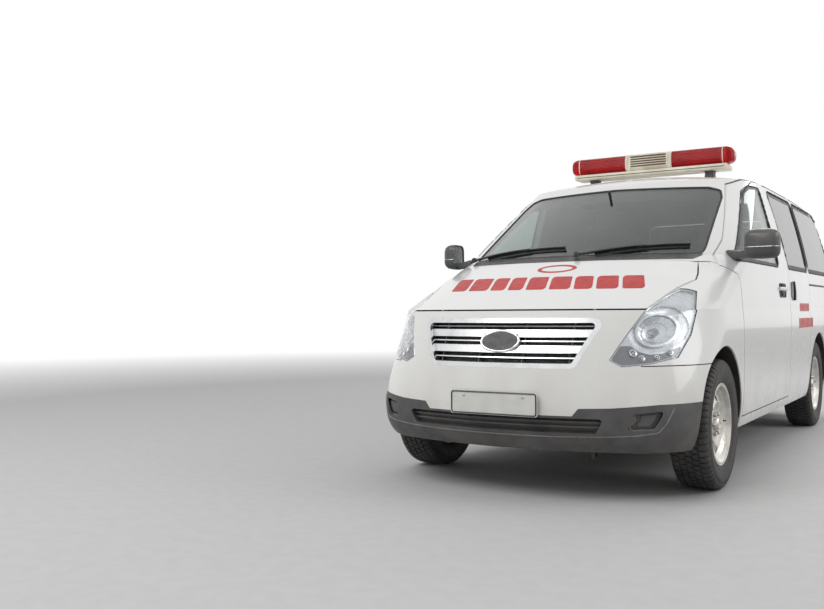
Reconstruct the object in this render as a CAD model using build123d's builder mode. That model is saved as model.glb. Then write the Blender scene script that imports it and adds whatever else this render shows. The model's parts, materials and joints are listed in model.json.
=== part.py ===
from build123d import *
import math
import os

# Van ambulance. Millimetres, +Z up, front towards -Y, origin on the ground under the middle of the box.

# Driving dimensions of the body
wheelbase = 3200
frontAxleY = -1682
rearAxleY = frontAxleY + wheelbase
archRadius = 425
sillZ = 262
hoodEdgeZ = 978
cowlZ = 1295
headerZ = 1783
roofZ = 1935
loftTopZ = 2000
wallSide = 55
wallFront = 60
wallRear = 50
wallRoof = 40
sillBottom = 285
sillTop = 345
panelGap = 5
doorGap = 8
seatGap = 0.3
lampGap = 0.9
glassInset = 4
glassThick = 5

# Wheels and running gear
tyreRadius = 353
tyreWidth = 215
rimRadius = 216
rimWidth = 178
rimWall = 8
wheelZ = tyreRadius
trackHalfFront = 842
trackHalfRear = 830
kingpinX = 755
kingpinHalf = 132
hubRadius = 62

# Floor and frame
floorZ = 520
floorThick = 30
floorInset = wallSide + 8
railX = 450
railWidth = 70
railHeight = 90
railBottom = floorZ - railHeight

# Plates, lamps and light bar
noseBulgeY = -2560
plateWidth = 495
plateHeight = 122
plateThick = 8
plateZ = 500
barHalf = 620
barY = 80
barTubeZ = 2092
barTubeRadius = 64
barSpeakerHalf = 165

# Body plan outlines. Columns: height, front y, front radius, front arc half width, half width, rear y
noseRows = [
    (sillZ, -2465, 1900, 620, 905, 2500),
    (330, -2530, 1900, 620, 930, 2535),
    (500, noseBulgeY, 1800, 600, 950, 2545),
    (700, -2535, 1500, 520, 957, 2542),
    (hoodEdgeZ, -2405, 1450, 500, 957, 2532),
]
hoodRows = [
    (hoodEdgeZ, -2405, 1450, 500, 957, 2532),
    (1080, -2150, 1450, 500, 954, 2526),
    (1190, -1855, 1500, 540, 947, 2518),
    (cowlZ, -1545, 1550, 600, 938, 2506),
]
cabRows = [
    (cowlZ, -1545, 1550, 600, 938, 2506),
    (1540, -1134, 1550, 575, 886, 2448),
    (headerZ, -714, 1550, 550, 822, 2372),
    (loftTopZ, -338, 1550, 530, 757, 2290),
]
rearRadius = 5200
rearCorner = 150

# Roof. Columns: y, height of the centre line, half width at the rails
roofRows = [
    (-900, 1690, 960),
    (-700, 1795, 930),
    (-540, 1868, 900),
    (-380, 1907, 880),
    (-100, 1930, 870),
    (500, roofZ, 870),
    (1300, 1930, 870),
    (2000, 1905, 870),
    (2400, 1872, 870),
    (2650, 1840, 870),
]
roofCrownRadius = 5000
roofCrownHalf = 720
roofBottomZ = 1300
roofSpan = 1200

# Panel outlines seen from the side. Columns: y, z
noseOutline = [(-2800, 150), (-1212, 150), (-1218, 640), (-1262, 1000), (-1300, 1180), (-1360, 1213), (-1396, 1250),
               (-2800, 1250)]
doorOutline = [(-1212, sillTop + doorGap), (-1218, 640), (-1262, 1000), (-1300, 1180), (-1380, 1228), (-1362, 1246), (-1095, 1392),
               (-480, 1806), (-330, 1848), (62, 1850), (106, 1838), (234, 1250),
               (240, sillTop + doorGap)]
doorGlass = [(-1235, 1262), (-1079, 1340), (-461, 1757), (-333, 1806), (-112, 1810), (-114, 1262)]
slideOutline = [(247, sillTop + seatGap), (241, 1250), (113, 1838), (118, 1850), (1076, 1850),
                (1076, sillTop + seatGap)]
slideGlass = [(252, 1262), (136, 1822), (1046, 1822), (1046, 1262)]
quarterGlass = [(1106, 1262), (1106, 1822), (2080, 1812), (2250, 1740), (2290, 1262)]

# Panel outlines seen from the front. Columns: x, z
windshieldOutline = [(0, 1300), (745, 1300), (745, 1345), (700, 1700), (672, 1760), (600, 1782), (0, 1796)]
lampOutline = [(767, 1089), (800, 1085), (840, 1073), (884, 969), (874, 845), (842, 734), (740, 704), (626, 692),
               (567, 723), (631, 859), (698, 991), (722, 1036)]
grilleOutline = [(0, 937), (537, 937), (411, 681), (0, 681)]
lowerBumperOutline = [(0, 449), (410, 449), (440, 487), (594, 492), (796, 508), (1000, 511), (1000, 150), (0, 150)]
tailgateOutline = [(0, 1805), (640, 1795), (700, 1760), (776, 1250), (776, 522), (0, 522)]
tailgateGlass = [(0, 1752), (600, 1745), (642, 1715), (706, 1290), (0, 1290)]

# Hood side edge seen from above, right half. Columns: x, y
hoodOutline = [(0, -2800), (694, -2800), (696, -2185), (724, -2011), (757, -1853), (804, -1690), (795, -1614),
               (757, -1462)]
hoodLowZ = 982
hoodRearZ = 1266
fenderLowZ = 692


def corner(radius, arcHalf, halfWidth):
    """Sector angle and radius of the arc that joins a bow of this radius to a straight side."""
    angle = math.asin(arcHalf / radius)
    return angle, (halfWidth - arcHalf) / (1 - math.sin(angle))


def half_points(endY, sign, radius, arcHalf, halfWidth):
    """Middle, arc end, corner middle and side start of one end of a plan outline, on the right half."""
    angle, small = corner(radius, arcHalf, halfWidth)
    arcEnd = (arcHalf, endY + sign * radius * (1 - math.cos(angle)))
    centre = (halfWidth - small, arcEnd[1] + sign * small * math.cos(angle))
    middle = (angle + math.pi / 2) / 2
    bend = (centre[0] + small * math.sin(middle), centre[1] - sign * small * math.cos(middle))
    return (0, endY), arcEnd, bend, (halfWidth, centre[1])


def mirrored(point):
    return (-point[0], point[1])


def front_y(x, z):
    """Where the nose, hood or windshield skin lies at a distance from the middle and a height."""
    rows = noseRows + hoodRows[1:] + cabRows[1:]
    for low, high in zip(rows, rows[1:]):
        if low[0] <= z <= high[0]:
            share = (z - low[0]) / (high[0] - low[0])
            frontY, radius, arcHalf, halfWidth = [a + share * (b - a) for a, b in zip(low[1:5], high[1:5])]
    angle, small = corner(radius, arcHalf, halfWidth)
    if abs(x) <= arcHalf:
        return frontY + radius - math.sqrt(radius**2 - x**2)
    centreX = halfWidth - small
    centreY = frontY + radius * (1 - math.cos(angle)) + small * math.cos(angle)
    return centreY - math.sqrt(small**2 - (abs(x) - centreX) ** 2)


def plan_face(row, sideInset, frontInset, rearInset):
    z, frontY, radius, arcHalf, halfWidth, rearY = row
    inner = radius - frontInset
    width = halfWidth - sideInset
    front = half_points(frontY + frontInset, 1, inner, arcHalf * inner / radius, width)
    rear = half_points(rearY - rearInset, -1, rearRadius, width - rearCorner, width)
    with BuildSketch(Plane.XY.offset(z)) as sketch:
        with BuildLine():
            ThreePointArc(mirrored(front[1]), front[0], front[1])
            ThreePointArc(front[1], front[2], front[3])
            Line(front[3], rear[3])
            ThreePointArc(rear[3], rear[2], rear[1])
            ThreePointArc(rear[1], rear[0], mirrored(rear[1]))
            ThreePointArc(mirrored(rear[1]), mirrored(rear[2]), mirrored(rear[3]))
            Line(mirrored(rear[3]), mirrored(front[3]))
            ThreePointArc(mirrored(front[3]), mirrored(front[2]), mirrored(front[1]))
        make_face()
    return sketch.sketch


def roof_block(drop):
    """Everything under the roof surface, from the header back."""
    with BuildPart() as block:
        for y, height, railHalf in roofRows:
            angle, small = corner(roofCrownRadius, roofCrownHalf, railHalf)
            middle = (angle + math.pi / 2) / 2
            bendX = railHalf - small + small * math.sin(middle)
            top = height - drop
            edgeZ = top - roofCrownRadius * (1 - math.cos(angle))
            centreZ = edgeZ - small * math.cos(angle)
            bendZ = centreZ + small * math.cos(middle)
            with BuildSketch(Plane.XZ.offset(-y)):
                with BuildLine():
                    ThreePointArc((-roofCrownHalf, edgeZ), (0, top), (roofCrownHalf, edgeZ))
                    ThreePointArc((roofCrownHalf, edgeZ), (bendX, bendZ), (railHalf, centreZ))
                    Polyline((railHalf, centreZ), (roofSpan, centreZ), (roofSpan, roofBottomZ),
                             (-roofSpan, roofBottomZ), (-roofSpan, centreZ), (-railHalf, centreZ))
                    ThreePointArc((-railHalf, centreZ), (-bendX, bendZ), (-roofCrownHalf, edgeZ))
                make_face()
        loft()
    return block.part


def body_tier(rows, sideInset, frontInset, rearInset):
    """One loft through the plan outlines of a table."""
    with BuildPart() as tier:
        for row in rows:
            add(plan_face(row, sideInset, frontInset, rearInset))
        loft()
    return tier.part


def body_block(sideInset=0, frontInset=0, rearInset=0, drop=0):
    """The whole body as one solid, each wall moved in by its inset."""
    roofLength = roofRows[-1][0] - roofRows[0][0]
    with BuildPart() as above:
        with Locations((0, roofRows[0][0] + roofLength / 2, roofBottomZ)):
            Box(2 * roofSpan, roofLength, 1000, align=(Align.CENTER, Align.CENTER, Align.MIN))
        add(roof_block(drop), mode=Mode.SUBTRACT)
    with BuildPart() as block:
        for rows in (noseRows, hoodRows, cabRows):
            add(body_tier(rows, sideInset, frontInset, rearInset))
        add(above.part, mode=Mode.SUBTRACT)
    return block.part


def shrunk_face(points, plane, grow, radius, half):
    """Closed outline on a plane, grown or shrunk, with round corners. A half outline is completed at x = 0."""
    if half:
        points = points + [mirrored(point) for point in reversed(points) if point[0] > 0]
    with BuildSketch(plane) as sketch:
        with BuildLine():
            Polyline(points, close=True)
        make_face()
        if grow:
            offset(amount=grow, kind=Kind.INTERSECTION)
        if radius:
            fillet([vertex for vertex in sketch.vertices() if not half or abs(vertex.X) > 1], radius)
    return sketch.sketch


def side_prism(points, low=300, high=1100, grow=0, radius=0, both=True):
    """Side-view outline extruded between two x values, on both sides of the van or on +X alone."""
    with BuildPart() as prism:
        add(shrunk_face(points, Plane.YZ.offset(low), grow, radius, False))
        extrude(amount=high - low, dir=(1, 0, 0))
        if both:
            mirror(about=Plane.YZ)
    return prism.part


def front_prism(points, low, high, grow=0, radius=0, half=True):
    """Front-view outline extruded between two y values."""
    with BuildPart() as prism:
        add(shrunk_face(points, Plane.XZ.offset(-low), grow, radius, half))
        extrude(amount=high - low, dir=(0, 1, 0))
    return prism.part


def hood_prism(low, high, grow):
    """Hood outline from above between two heights. Its rear edge runs along the foot of the windshield."""
    sideRear = hoodOutline[-1]
    with BuildPart() as prism:
        with BuildSketch(Plane.XY.offset(low)) as sketch:
            with BuildLine():
                Polyline([mirrored(point) for point in reversed(hoodOutline[1:])] + hoodOutline[1:])
                ThreePointArc(sideRear, (0, front_y(0, hoodRearZ)), mirrored(sideRear))
            make_face()
            offset(amount=grow, kind=Kind.INTERSECTION)
        extrude(amount=high - low)
    return prism.part


def slab(x, y, z):
    """Box between pairs of x, y and z values."""
    with BuildPart() as block:
        with Locations(((x[0] + x[1]) / 2, (y[0] + y[1]) / 2, (z[0] + z[1]) / 2)):
            Box(x[1] - x[0], y[1] - y[0], z[1] - z[0])
    return block.part


def round_bar(axis, centre, radius, low, high):
    """Cylinder along X, Y or Z between two values on that axis. The centre gives the other two, in order."""
    origins = {"x": (low, *centre), "y": (centre[0], low, centre[1]), "z": (*centre, low)}
    directions = {"x": (1, 0, 0), "y": (0, 1, 0), "z": (0, 0, 1)}
    with BuildPart() as bar:
        with BuildSketch(Plane(origin=origins[axis], z_dir=directions[axis])):
            Circle(radius)
        extrude(amount=high - low)
    return bar.part


def on_both_sides(shape):
    with BuildPart() as pair:
        add(shape)
        mirror(about=Plane.YZ)
    return pair.part


def export(piece, name):
    piece.part.label = name
    export_step(piece.part, "parts/" + name + ".step")


os.makedirs("parts", exist_ok=True)

# Body volumes: outer skin, inner skin, the room inside for floor and trim, and the two faces of the glass
outer = body_block()
plateFrontY = outer.bounding_box().min.Y - seatGap - plateThick
inner = body_block(wallSide, wallFront, wallRear, wallRoof)
cabin = body_block(floorInset, wallFront + 8, wallRear + 8, wallRoof + 4)
glassOuter = body_block(glassInset, 2 * glassInset, glassInset, glassInset)
glassInner = body_block(glassInset + glassThick, 2 * (glassInset + glassThick), glassInset + glassThick,
                        glassInset + glassThick)
shell = outer - inner
glassShell = glassOuter - glassInner

# Wheel arches are open to the ground
with BuildPart() as arches:
    for axleY in (frontAxleY, rearAxleY):
        add(on_both_sides(round_bar("x", (axleY, wheelZ), archRadius, 560, 1100)))
sillCut = slab((-1100, 1100), (frontAxleY, rearAxleY), (200, sillBottom))

noseInside = side_prism(noseOutline, -1100, 1100, -panelGap / 2, both=False)
noseOutside = side_prism(noseOutline, -1100, 1100, panelGap / 2, both=False)
doorInside = side_prism(doorOutline)
doorOutside = side_prism(doorOutline, grow=doorGap)
slideInside = side_prism(slideOutline)
slideOutside = side_prism(slideOutline, grow=panelGap) - slab((-1100, 1100), (-1300, 1300), (0, sillTop))
doorGlassHole = side_prism(doorGlass, radius=18)
slideGlassHole = side_prism(slideGlass, radius=40)
quarterGlassHole = side_prism(quarterGlass, radius=40)
windshieldHole = front_prism(windshieldOutline, -1700, -300, radius=16)
tailgateInside = front_prism(tailgateOutline, 2200, 2700, radius=30)
tailgateOutside = front_prism(tailgateOutline, 2200, 2700, doorGap, radius=30)
tailgateGlassHole = front_prism(tailgateGlass, 2200, 2700, radius=30)
lampInside = on_both_sides(front_prism(lampOutline, -2600, -1760, 0, 8, half=False))
lampOutside = on_both_sides(front_prism(lampOutline, -2600, -1760, lampGap, 8, half=False))
hoodInside = hood_prism(hoodLowZ, cowlZ, -doorGap / 2)
hoodOutside = hood_prism(hoodLowZ - doorGap, cowlZ, doorGap / 2)
grilleInside = front_prism(grilleOutline, -2700, -2200, 0, 40)
grilleOutside = front_prism(grilleOutline, -2700, -2200, seatGap, 40)
lowerInside = front_prism(lowerBumperOutline, -2700, frontAxleY)
lowerOutside = front_prism(lowerBumperOutline, -2700, frontAxleY, seatGap)

# Rear bumper wraps the tail below the tailgate
bumperTopZ = 488
rearBumperY = 2240
rearBumperRegion = slab((-1100, 1100), (rearBumperY, 2700), (200, bumperTopZ))
rearBumperCut = slab((-1100, 1100), (rearBumperY - panelGap, 2700), (200, bumperTopZ + seatGap))

# Tail lamps stand on the rear corners beside the tailgate
tailLampOutline = [(2400, 820), (2400, 1240), (2700, 1240), (2700, 820)]
lampInnerX = 776 + 2 * doorGap
tailLampInside = side_prism(tailLampOutline, lampInnerX + lampGap, 1100)
tailLampOutside = side_prism(tailLampOutline, lampInnerX, 1100, lampGap)

# Tailgate hinges: a knuckle on the roof edge beside one on the tailgate, on the same axis
hingeY = 2368
hingeZ = 1815
hingeRadius = 7
hingeLength = 30
hingeX = 400
leafRootY = 2310


def knuckle_pair(start, leafLow, leafHigh):
    """Two tailgate hinge knuckles with their leaves, one on each side."""
    with BuildPart() as pair:
        add(round_bar("x", (hingeY, hingeZ), hingeRadius, start, start + hingeLength))
        add(slab((start, start + hingeLength), (leafRootY, hingeY), (leafLow, leafHigh)))
        mirror(about=Plane.YZ)
    return pair.part


roofKnuckles = knuckle_pair(hingeX, hingeZ, hingeZ + hingeRadius)
gateKnuckleX = hingeX + hingeLength + seatGap
gateLeafLow = hingeZ - 2 * hingeRadius - 5
gateLeafTop = tailgateOutline[1][1] + panelGap
gateRiserDepth = 16
gateKnuckles = knuckle_pair(gateKnuckleX, gateLeafLow, gateLeafTop)
gateRisers = on_both_sides(slab((gateKnuckleX, gateKnuckleX + hingeLength), (hingeY - gateRiserDepth, hingeY),
                                (gateLeafLow, hingeZ)))

# Groove in each rear quarter that guides the middle roller of the sliding door
guideFloorX = 936
guideY = (1092, 2230)
guideZ = (1156, 1172)
guideGrooves = on_both_sides(slab((guideFloorX, 1100), guideY, guideZ))

with BuildPart() as body_shell:
    add(shell)
    for cut in (noseOutside, hoodOutside, doorOutside, slideOutside, tailgateOutside, quarterGlassHole, windshieldHole,
                tailLampOutside, rearBumperCut, sillCut, guideGrooves, arches.part):
        add(cut, mode=Mode.SUBTRACT)
    add(roofKnuckles)
export(body_shell, "body_shell")

with BuildPart() as nose:
    add(shell)
    add(noseInside, mode=Mode.INTERSECT)
    add(arches.part, mode=Mode.SUBTRACT)
    add(doorOutside, mode=Mode.SUBTRACT)

with BuildPart() as hood:
    add(shell)
    add(hoodInside, mode=Mode.INTERSECT)
    add(lampOutside, mode=Mode.SUBTRACT)
export(hood, "hood")

noseCentreHalf = 705
hoodStopX = 450
hoodStopRadius = 9
hoodStopTop = hoodLowZ - seatGap
bumperSplit = slab((-1100, 1100), (-2700, frontAxleY), (200, fenderLowZ))
noseCentre = slab((-noseCentreHalf, noseCentreHalf), (-2700, -2000), (200, hoodLowZ))
bumperZone = bumperSplit + noseCentre

with BuildPart() as front_bumper:
    add(nose.part)
    add(bumperZone, mode=Mode.INTERSECT)
    for cut in (hoodOutside, lampOutside, grilleOutside, lowerOutside):
        add(cut, mode=Mode.SUBTRACT)
    for x in (-hoodStopX, hoodStopX):
        add(round_bar("z", (x, front_y(x, hoodLowZ) + wallFront / 2), hoodStopRadius, hoodLowZ - 2 * doorGap, hoodStopTop))
export(front_bumper, "front_bumper")

fenderCut = slab((-1100, 1100), (-2700, frontAxleY), (200, fenderLowZ + panelGap))
centreCutHalf = noseCentreHalf + panelGap
centreCut = slab((-centreCutHalf, centreCutHalf), (-2700, -2000), (200, hoodLowZ + doorGap))
with BuildPart() as fenders:
    add(nose.part)
    for cut in (hoodOutside, lampOutside, fenderCut, centreCut, sillCut):
        add(cut, mode=Mode.SUBTRACT)
export(fenders, "fenders")

with BuildPart() as headlamps:
    add(nose.part)
    add(lampInside, mode=Mode.INTERSECT)
export(headlamps, "headlamps")


def slat(opening, middle, thick, setBack, depth, hold):
    """Bowed slat across an opening with slanted ends. It follows the lean of the nose, and its ends are held."""
    (topX, topZ), (bottomX, bottomZ) = opening
    with BuildPart() as bar:
        for z in (middle - thick / 2, middle + thick / 2):
            half = bottomX + (topX - bottomX) * (z - bottomZ) / (topZ - bottomZ) + hold
            middleY, endY = [front_y(x, z) + setBack for x in (0, half)]
            with BuildSketch(Plane.XY.offset(z)):
                with BuildLine():
                    ThreePointArc((-half, endY), (0, middleY), (half, endY))
                    Line((half, endY), (half, endY + depth))
                    ThreePointArc((half, endY + depth), (0, middleY + depth), (-half, endY + depth))
                    Line((-half, endY + depth), (-half, endY))
                make_face()
        loft()
    return bar.part


# Lower bumper: an air intake with slats across it and a blanked fog lamp recess on each side
intakeOutline = [(0, 438), (560, 438), (516, 363), (0, 363)]
intakeDepth = 40
intakeHold = 8
# Columns: height of the slat's middle, its thickness, how far its face is set back
intakeRows = [(418, 9, 12), (394, 9, 12)]
recessOutline = [(683, 466), (819, 480), (802, 434), (774, 385), (654, 382), (699, 436)]
recessDepth = 24
intakePocket = front_prism(intakeOutline, -2700, -2200, radius=14) - body_block(intakeDepth, intakeDepth)
recessField = on_both_sides(front_prism(recessOutline, -2700, -2000, radius=12, half=False))
recessPockets = recessField - body_block(recessDepth, recessDepth)
with BuildPart() as front_bumper_lower:
    add(nose.part)
    add(lowerInside, mode=Mode.INTERSECT)
    add(intakePocket, mode=Mode.SUBTRACT)
    add(recessPockets, mode=Mode.SUBTRACT)
    for middle, thick, setBack in intakeRows:
        add(slat(intakeOutline[1:3], middle, thick, setBack, intakeDepth - setBack + seatGap, intakeHold))
export(front_bumper_lower, "front_bumper_lower")

# Grille: a surround, two broad bars with a thin slat in each dark gap, and a plain oval boss
grilleRim = 26
slatHold = 9
# Columns: height of the slat's middle, its thickness, how far its face is set back, its depth
slatRows = [(893, 6, 20, 30), (857, 38, 8, 44), (817, 6, 20, 30), (777, 38, 8, 44), (733, 6, 20, 30)]
bossZ = 817
bossHalfWide = 112
bossHalfHigh = 54
bossThick = 34
grilleField = front_prism(grilleOutline, -2700, -2200, -grilleRim, 20)


bossLean = front_y(0, bossZ + bossHalfHigh) - front_y(0, bossZ - bossHalfHigh)
bossPlane = Plane(origin=(0, front_y(0, bossZ), bossZ), x_dir=(1, 0, 0), z_dir=(0, -2 * bossHalfHigh, bossLean))
with BuildPart() as grille:
    add(nose.part)
    add(grilleInside, mode=Mode.INTERSECT)
    add(grilleField, mode=Mode.SUBTRACT)
    for row in slatRows:
        add(slat(grilleOutline[1:3], *row, -slatHold))
    with BuildSketch(bossPlane):
        Ellipse(bossHalfWide, bossHalfHigh)
    extrude(amount=-bossThick)
export(grille, "grille")

with BuildPart() as windshield:
    add(glassShell)
    add(windshieldHole, mode=Mode.INTERSECT)
export(windshield, "windshield")

with BuildPart() as doors:
    add(shell)
    add(doorInside, mode=Mode.INTERSECT)
    add(doorGlassHole, mode=Mode.SUBTRACT)
with BuildPart() as doorPanes:
    add(glassShell)
    add(doorGlassHole, mode=Mode.INTERSECT)

# Door mirrors: housing, arm and foot on the door's front corner. The right one is folded back along its window.
# Columns: distance behind the housing's middle, half width, half height
housingRows = [(-39, 70, 62), (-17, 92, 80), (11, 98, 86), (39, 96, 84)]
housingRound = 34
mirrorZ = 1348
footX = 890
# Columns: y, z
footOutline = [(-1345, 1238), (-1240, 1238), (-1200, 1300), (-1225, 1305)]
armOutline = [(-1330, 1290), (-1270, 1290), (-1268, 1325), (-1328, 1325)]
# Place and turn of each housing, and how far out its arm reaches
mirrorRows = {"left": ((1072, -1301, mirrorZ), 0, 1002), "right": ((-1000, -1196, mirrorZ), -84, 976)}
with BuildPart() as housing:
    for y, halfWide, halfHigh in housingRows:
        with BuildSketch(Plane.XZ.offset(-y)):
            RectangleRounded(2 * halfWide, 2 * halfHigh, housingRound)
    loft()


def mirror_piece(side, sign):
    """One door mirror on its arm and foot."""
    place, turn, reach = mirrorRows[side]
    with BuildPart() as piece:
        for x, outline in ((footX, footOutline), (reach, armOutline)):
            with BuildSketch(Plane.YZ.offset(sign * x)):
                with BuildLine():
                    Polyline(outline, close=True)
                make_face()
        loft()
        with Locations(Location(place, (0, 0, turn))):
            add(housing.part)
        add(outer, mode=Mode.SUBTRACT)
    return piece



# Door handles: a bar across a pocket in the skin. Columns of the pockets: y, z
pocketX = 925
gripX = (933, 957)
gripRound = 9
frontPocket = [(-150, 1055), (95, 1055), (95, 1150), (-150, 1150)]
slidePocket = [(285, 1045), (420, 1045), (420, 1165), (285, 1165)]
gripHold = 6
frontGripZ = (1098, 1126)
slideGripY = (374, 402)
with BuildPart() as frontGrip:
    add(slab(gripX, (frontPocket[0][0] - gripHold, frontPocket[1][0] + gripHold), frontGripZ))
    fillet(frontGrip.edges().filter_by(Axis.Y), gripRound)
    mirror(about=Plane.YZ)
with BuildPart() as slideGrip:
    add(slab(gripX, slideGripY, (slidePocket[0][1] - gripHold, slidePocket[2][1] + gripHold)))
    fillet(slideGrip.edges().filter_by(Axis.Z), gripRound)
    mirror(about=Plane.YZ)
frontPockets = side_prism(frontPocket, pocketX, 1100, radius=26)
slidePockets = side_prism(slidePocket, pocketX, 1100, radius=26)

for side, sign in (("left", 1), ("right", -1)):
    half = slab(sorted((0, sign * 1300)), (-2000, 1000), (0, 2000))
    with BuildPart() as door:
        add(doors.part)
        add(frontPockets, mode=Mode.SUBTRACT)
        add(frontGrip.part)
        add(half, mode=Mode.INTERSECT)
    export(door, "front_door_" + side)
    with BuildPart() as pane:
        add(doorPanes.part)
        add(half, mode=Mode.INTERSECT)
    export(pane, "front_window_" + side)
    export(mirror_piece(side, sign), "mirror_" + side)

# Sliding doors carry the rubber stop that each front door closes against
doorStopX = 951
doorStopZ = 900
doorStopRadius = 4
doorStopY = (236.8, 250)
with BuildPart() as sliding_doors:
    add(shell)
    add(slideInside, mode=Mode.INTERSECT)
    add(slideGlassHole, mode=Mode.SUBTRACT)
    add(slidePockets, mode=Mode.SUBTRACT)
    add(slideGrip.part)
    for side in (1, -1):
        add(round_bar("y", (side * doorStopX, doorStopZ), doorStopRadius, *doorStopY))
export(sliding_doors, "sliding_doors")

with BuildPart() as side_windows:
    add(glassShell)
    add(slideGlassHole + quarterGlassHole, mode=Mode.INTERSECT)
export(side_windows, "side_windows")

# Recess in the tailgate for the number plate. Columns: x, z
plateRecessOutline = [(0, 735), (285, 735), (285, 560), (0, 560)]
plateRecessY = 2528
plateRecess = front_prism(plateRecessOutline, plateRecessY, 2700, radius=18)
with BuildPart() as tailgate:
    add(shell)
    add(tailgateInside, mode=Mode.INTERSECT)
    add(tailgateGlassHole, mode=Mode.SUBTRACT)
    add(plateRecess, mode=Mode.SUBTRACT)
    add(gateKnuckles)
    add(gateRisers)
export(tailgate, "tailgate")

with BuildPart() as tailgate_window:
    add(glassShell)
    add(tailgateGlassHole, mode=Mode.INTERSECT)
export(tailgate_window, "tailgate_window")

with BuildPart() as tail_lamps:
    add(shell)
    add(tailLampInside, mode=Mode.INTERSECT)
export(tail_lamps, "tail_lamps")

bumperStep = -plateFrontY - noseRows[2][5]
with BuildPart() as rear_bumper:
    add(body_block(-4, 0, -bumperStep, 0))
    add(rearBumperRegion, mode=Mode.INTERSECT)
    add(inner, mode=Mode.SUBTRACT)
export(rear_bumper, "rear_bumper")

# Floor with sill boxes, wheel boxes and firewall
firewallY = -1400
firewallThick = 20
houseRadius = archRadius + 6
houseWall = 10
rearHouseX = 600
frontHouseX = 560
sillInnerX = 780
firewallTopZ = 1232
floorRearY = 2440
with BuildPart() as floorPlates:
    add(slab((-1100, 1100), (firewallY, floorRearY), (floorZ, floorZ + floorThick)))
    add(slab((-1100, 1100), (firewallY, firewallY + firewallThick), (floorZ, firewallTopZ)))
    add(on_both_sides(slab((sillInnerX, 1100), (frontAxleY, rearAxleY), (sillBottom + panelGap, floorZ))))
    add(cabin, mode=Mode.INTERSECT)
with BuildPart() as sillFoot:
    add(on_both_sides(slab((sillInnerX, 1100), (frontAxleY + archRadius, rearAxleY - archRadius),
                           (sillBottom + panelGap, sillTop))))
    add(inner, mode=Mode.INTERSECT)
with BuildPart() as houses:
    for axleY, start in ((frontAxleY, frontHouseX), (rearAxleY, rearHouseX)):
        add(on_both_sides(round_bar("x", (axleY, wheelZ), houseRadius + houseWall, start, 1100)))
    add(cabin, mode=Mode.INTERSECT)
    add(slab((-1100, 1100), (-2700, 2700), (0, 300)), mode=Mode.SUBTRACT)
with BuildPart() as houseHollow:
    for axleY, start in ((frontAxleY, frontHouseX - 100), (rearAxleY, rearHouseX + houseWall)):
        add(on_both_sides(round_bar("x", (axleY, wheelZ), houseRadius, start, 1100)))
axleSlotHalf = 110
axleSlotTop = wheelZ + 150
axleSlots = on_both_sides(slab((rearHouseX - houseWall, rearHouseX + 2 * houseWall),
                               (rearAxleY - axleSlotHalf, rearAxleY + axleSlotHalf), (0, axleSlotTop)))
with BuildPart() as floor_pan:
    add(floorPlates.part)
    add(sillFoot.part)
    add(houses.part)
    add(houseHollow.part, mode=Mode.SUBTRACT)
    add(axleSlots, mode=Mode.SUBTRACT)
export(floor_pan, "floor_pan")

# Frame rails under the floor, joined by cross members, with a tow lug at each end
railFrontY = -2340
railRearY = 2410
towLugThick = 20
towEyeRadius = 14
towEyes = [(-2310, 240), (2390, 240)]
towLugHalf = 24
crossMemberY = (-2300, -300, 900, 2380)
cradleY = -1950
cradleThick = 30
with BuildPart() as chassis_frame:
    for side in (1, -1):
        add(slab(sorted((side * (railX - railWidth / 2), side * (railX + railWidth / 2))), (railFrontY, railRearY),
                 (railBottom, floorZ)))
    for y in crossMemberY:
        add(slab((-railX, railX), (y - 35, y + 35), (floorZ - 20, floorZ)))
    add(slab((-railX, railX), (cradleY - 60, cradleY + 60), (railBottom - cradleThick, railBottom)))
    for y, z in towEyes:
        add(slab((railX - towLugThick / 2, railX + towLugThick / 2), (y - towLugHalf, y + towLugHalf),
                 (z - towLugHalf, railBottom)))
    for y, z in towEyes:
        add(round_bar("x", (y, z), towEyeRadius, railX - towLugThick, railX + towLugThick), mode=Mode.SUBTRACT)
export(chassis_frame, "chassis_frame")

# Engine block on its cradle, with the gearbox behind it under the floor
engineHalf = 280
engineY = (-2240, -1520)
engineTop = 985
gearboxHalf = 110
gearboxEndY = -900
with BuildPart() as engine:
    add(slab((-engineHalf, engineHalf), engineY, (railBottom + seatGap, engineTop)))
    add(slab((-gearboxHalf, gearboxHalf), (engineY[1], gearboxEndY), (285, floorZ - 5)))
    add(slab((-gearboxHalf, gearboxHalf), (engineY[1] - 60, engineY[1]), (285, floorZ - 5)))
export(engine, "engine")


def lathe(rows, centreX, centreY, side):
    """Ring of revolution on an axle. Columns of rows: distance along the axle from the wheel middle, radius."""
    with BuildPart() as ring:
        with BuildSketch(Plane.XZ.offset(-centreY)):
            with BuildLine():
                Polyline([(side * (centreX + along), wheelZ + radius) for along, radius in rows], close=True)
            make_face()
        revolve(axis=Axis((0, centreY, wheelZ), (1, 0, 0)))
    return ring.part


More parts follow.
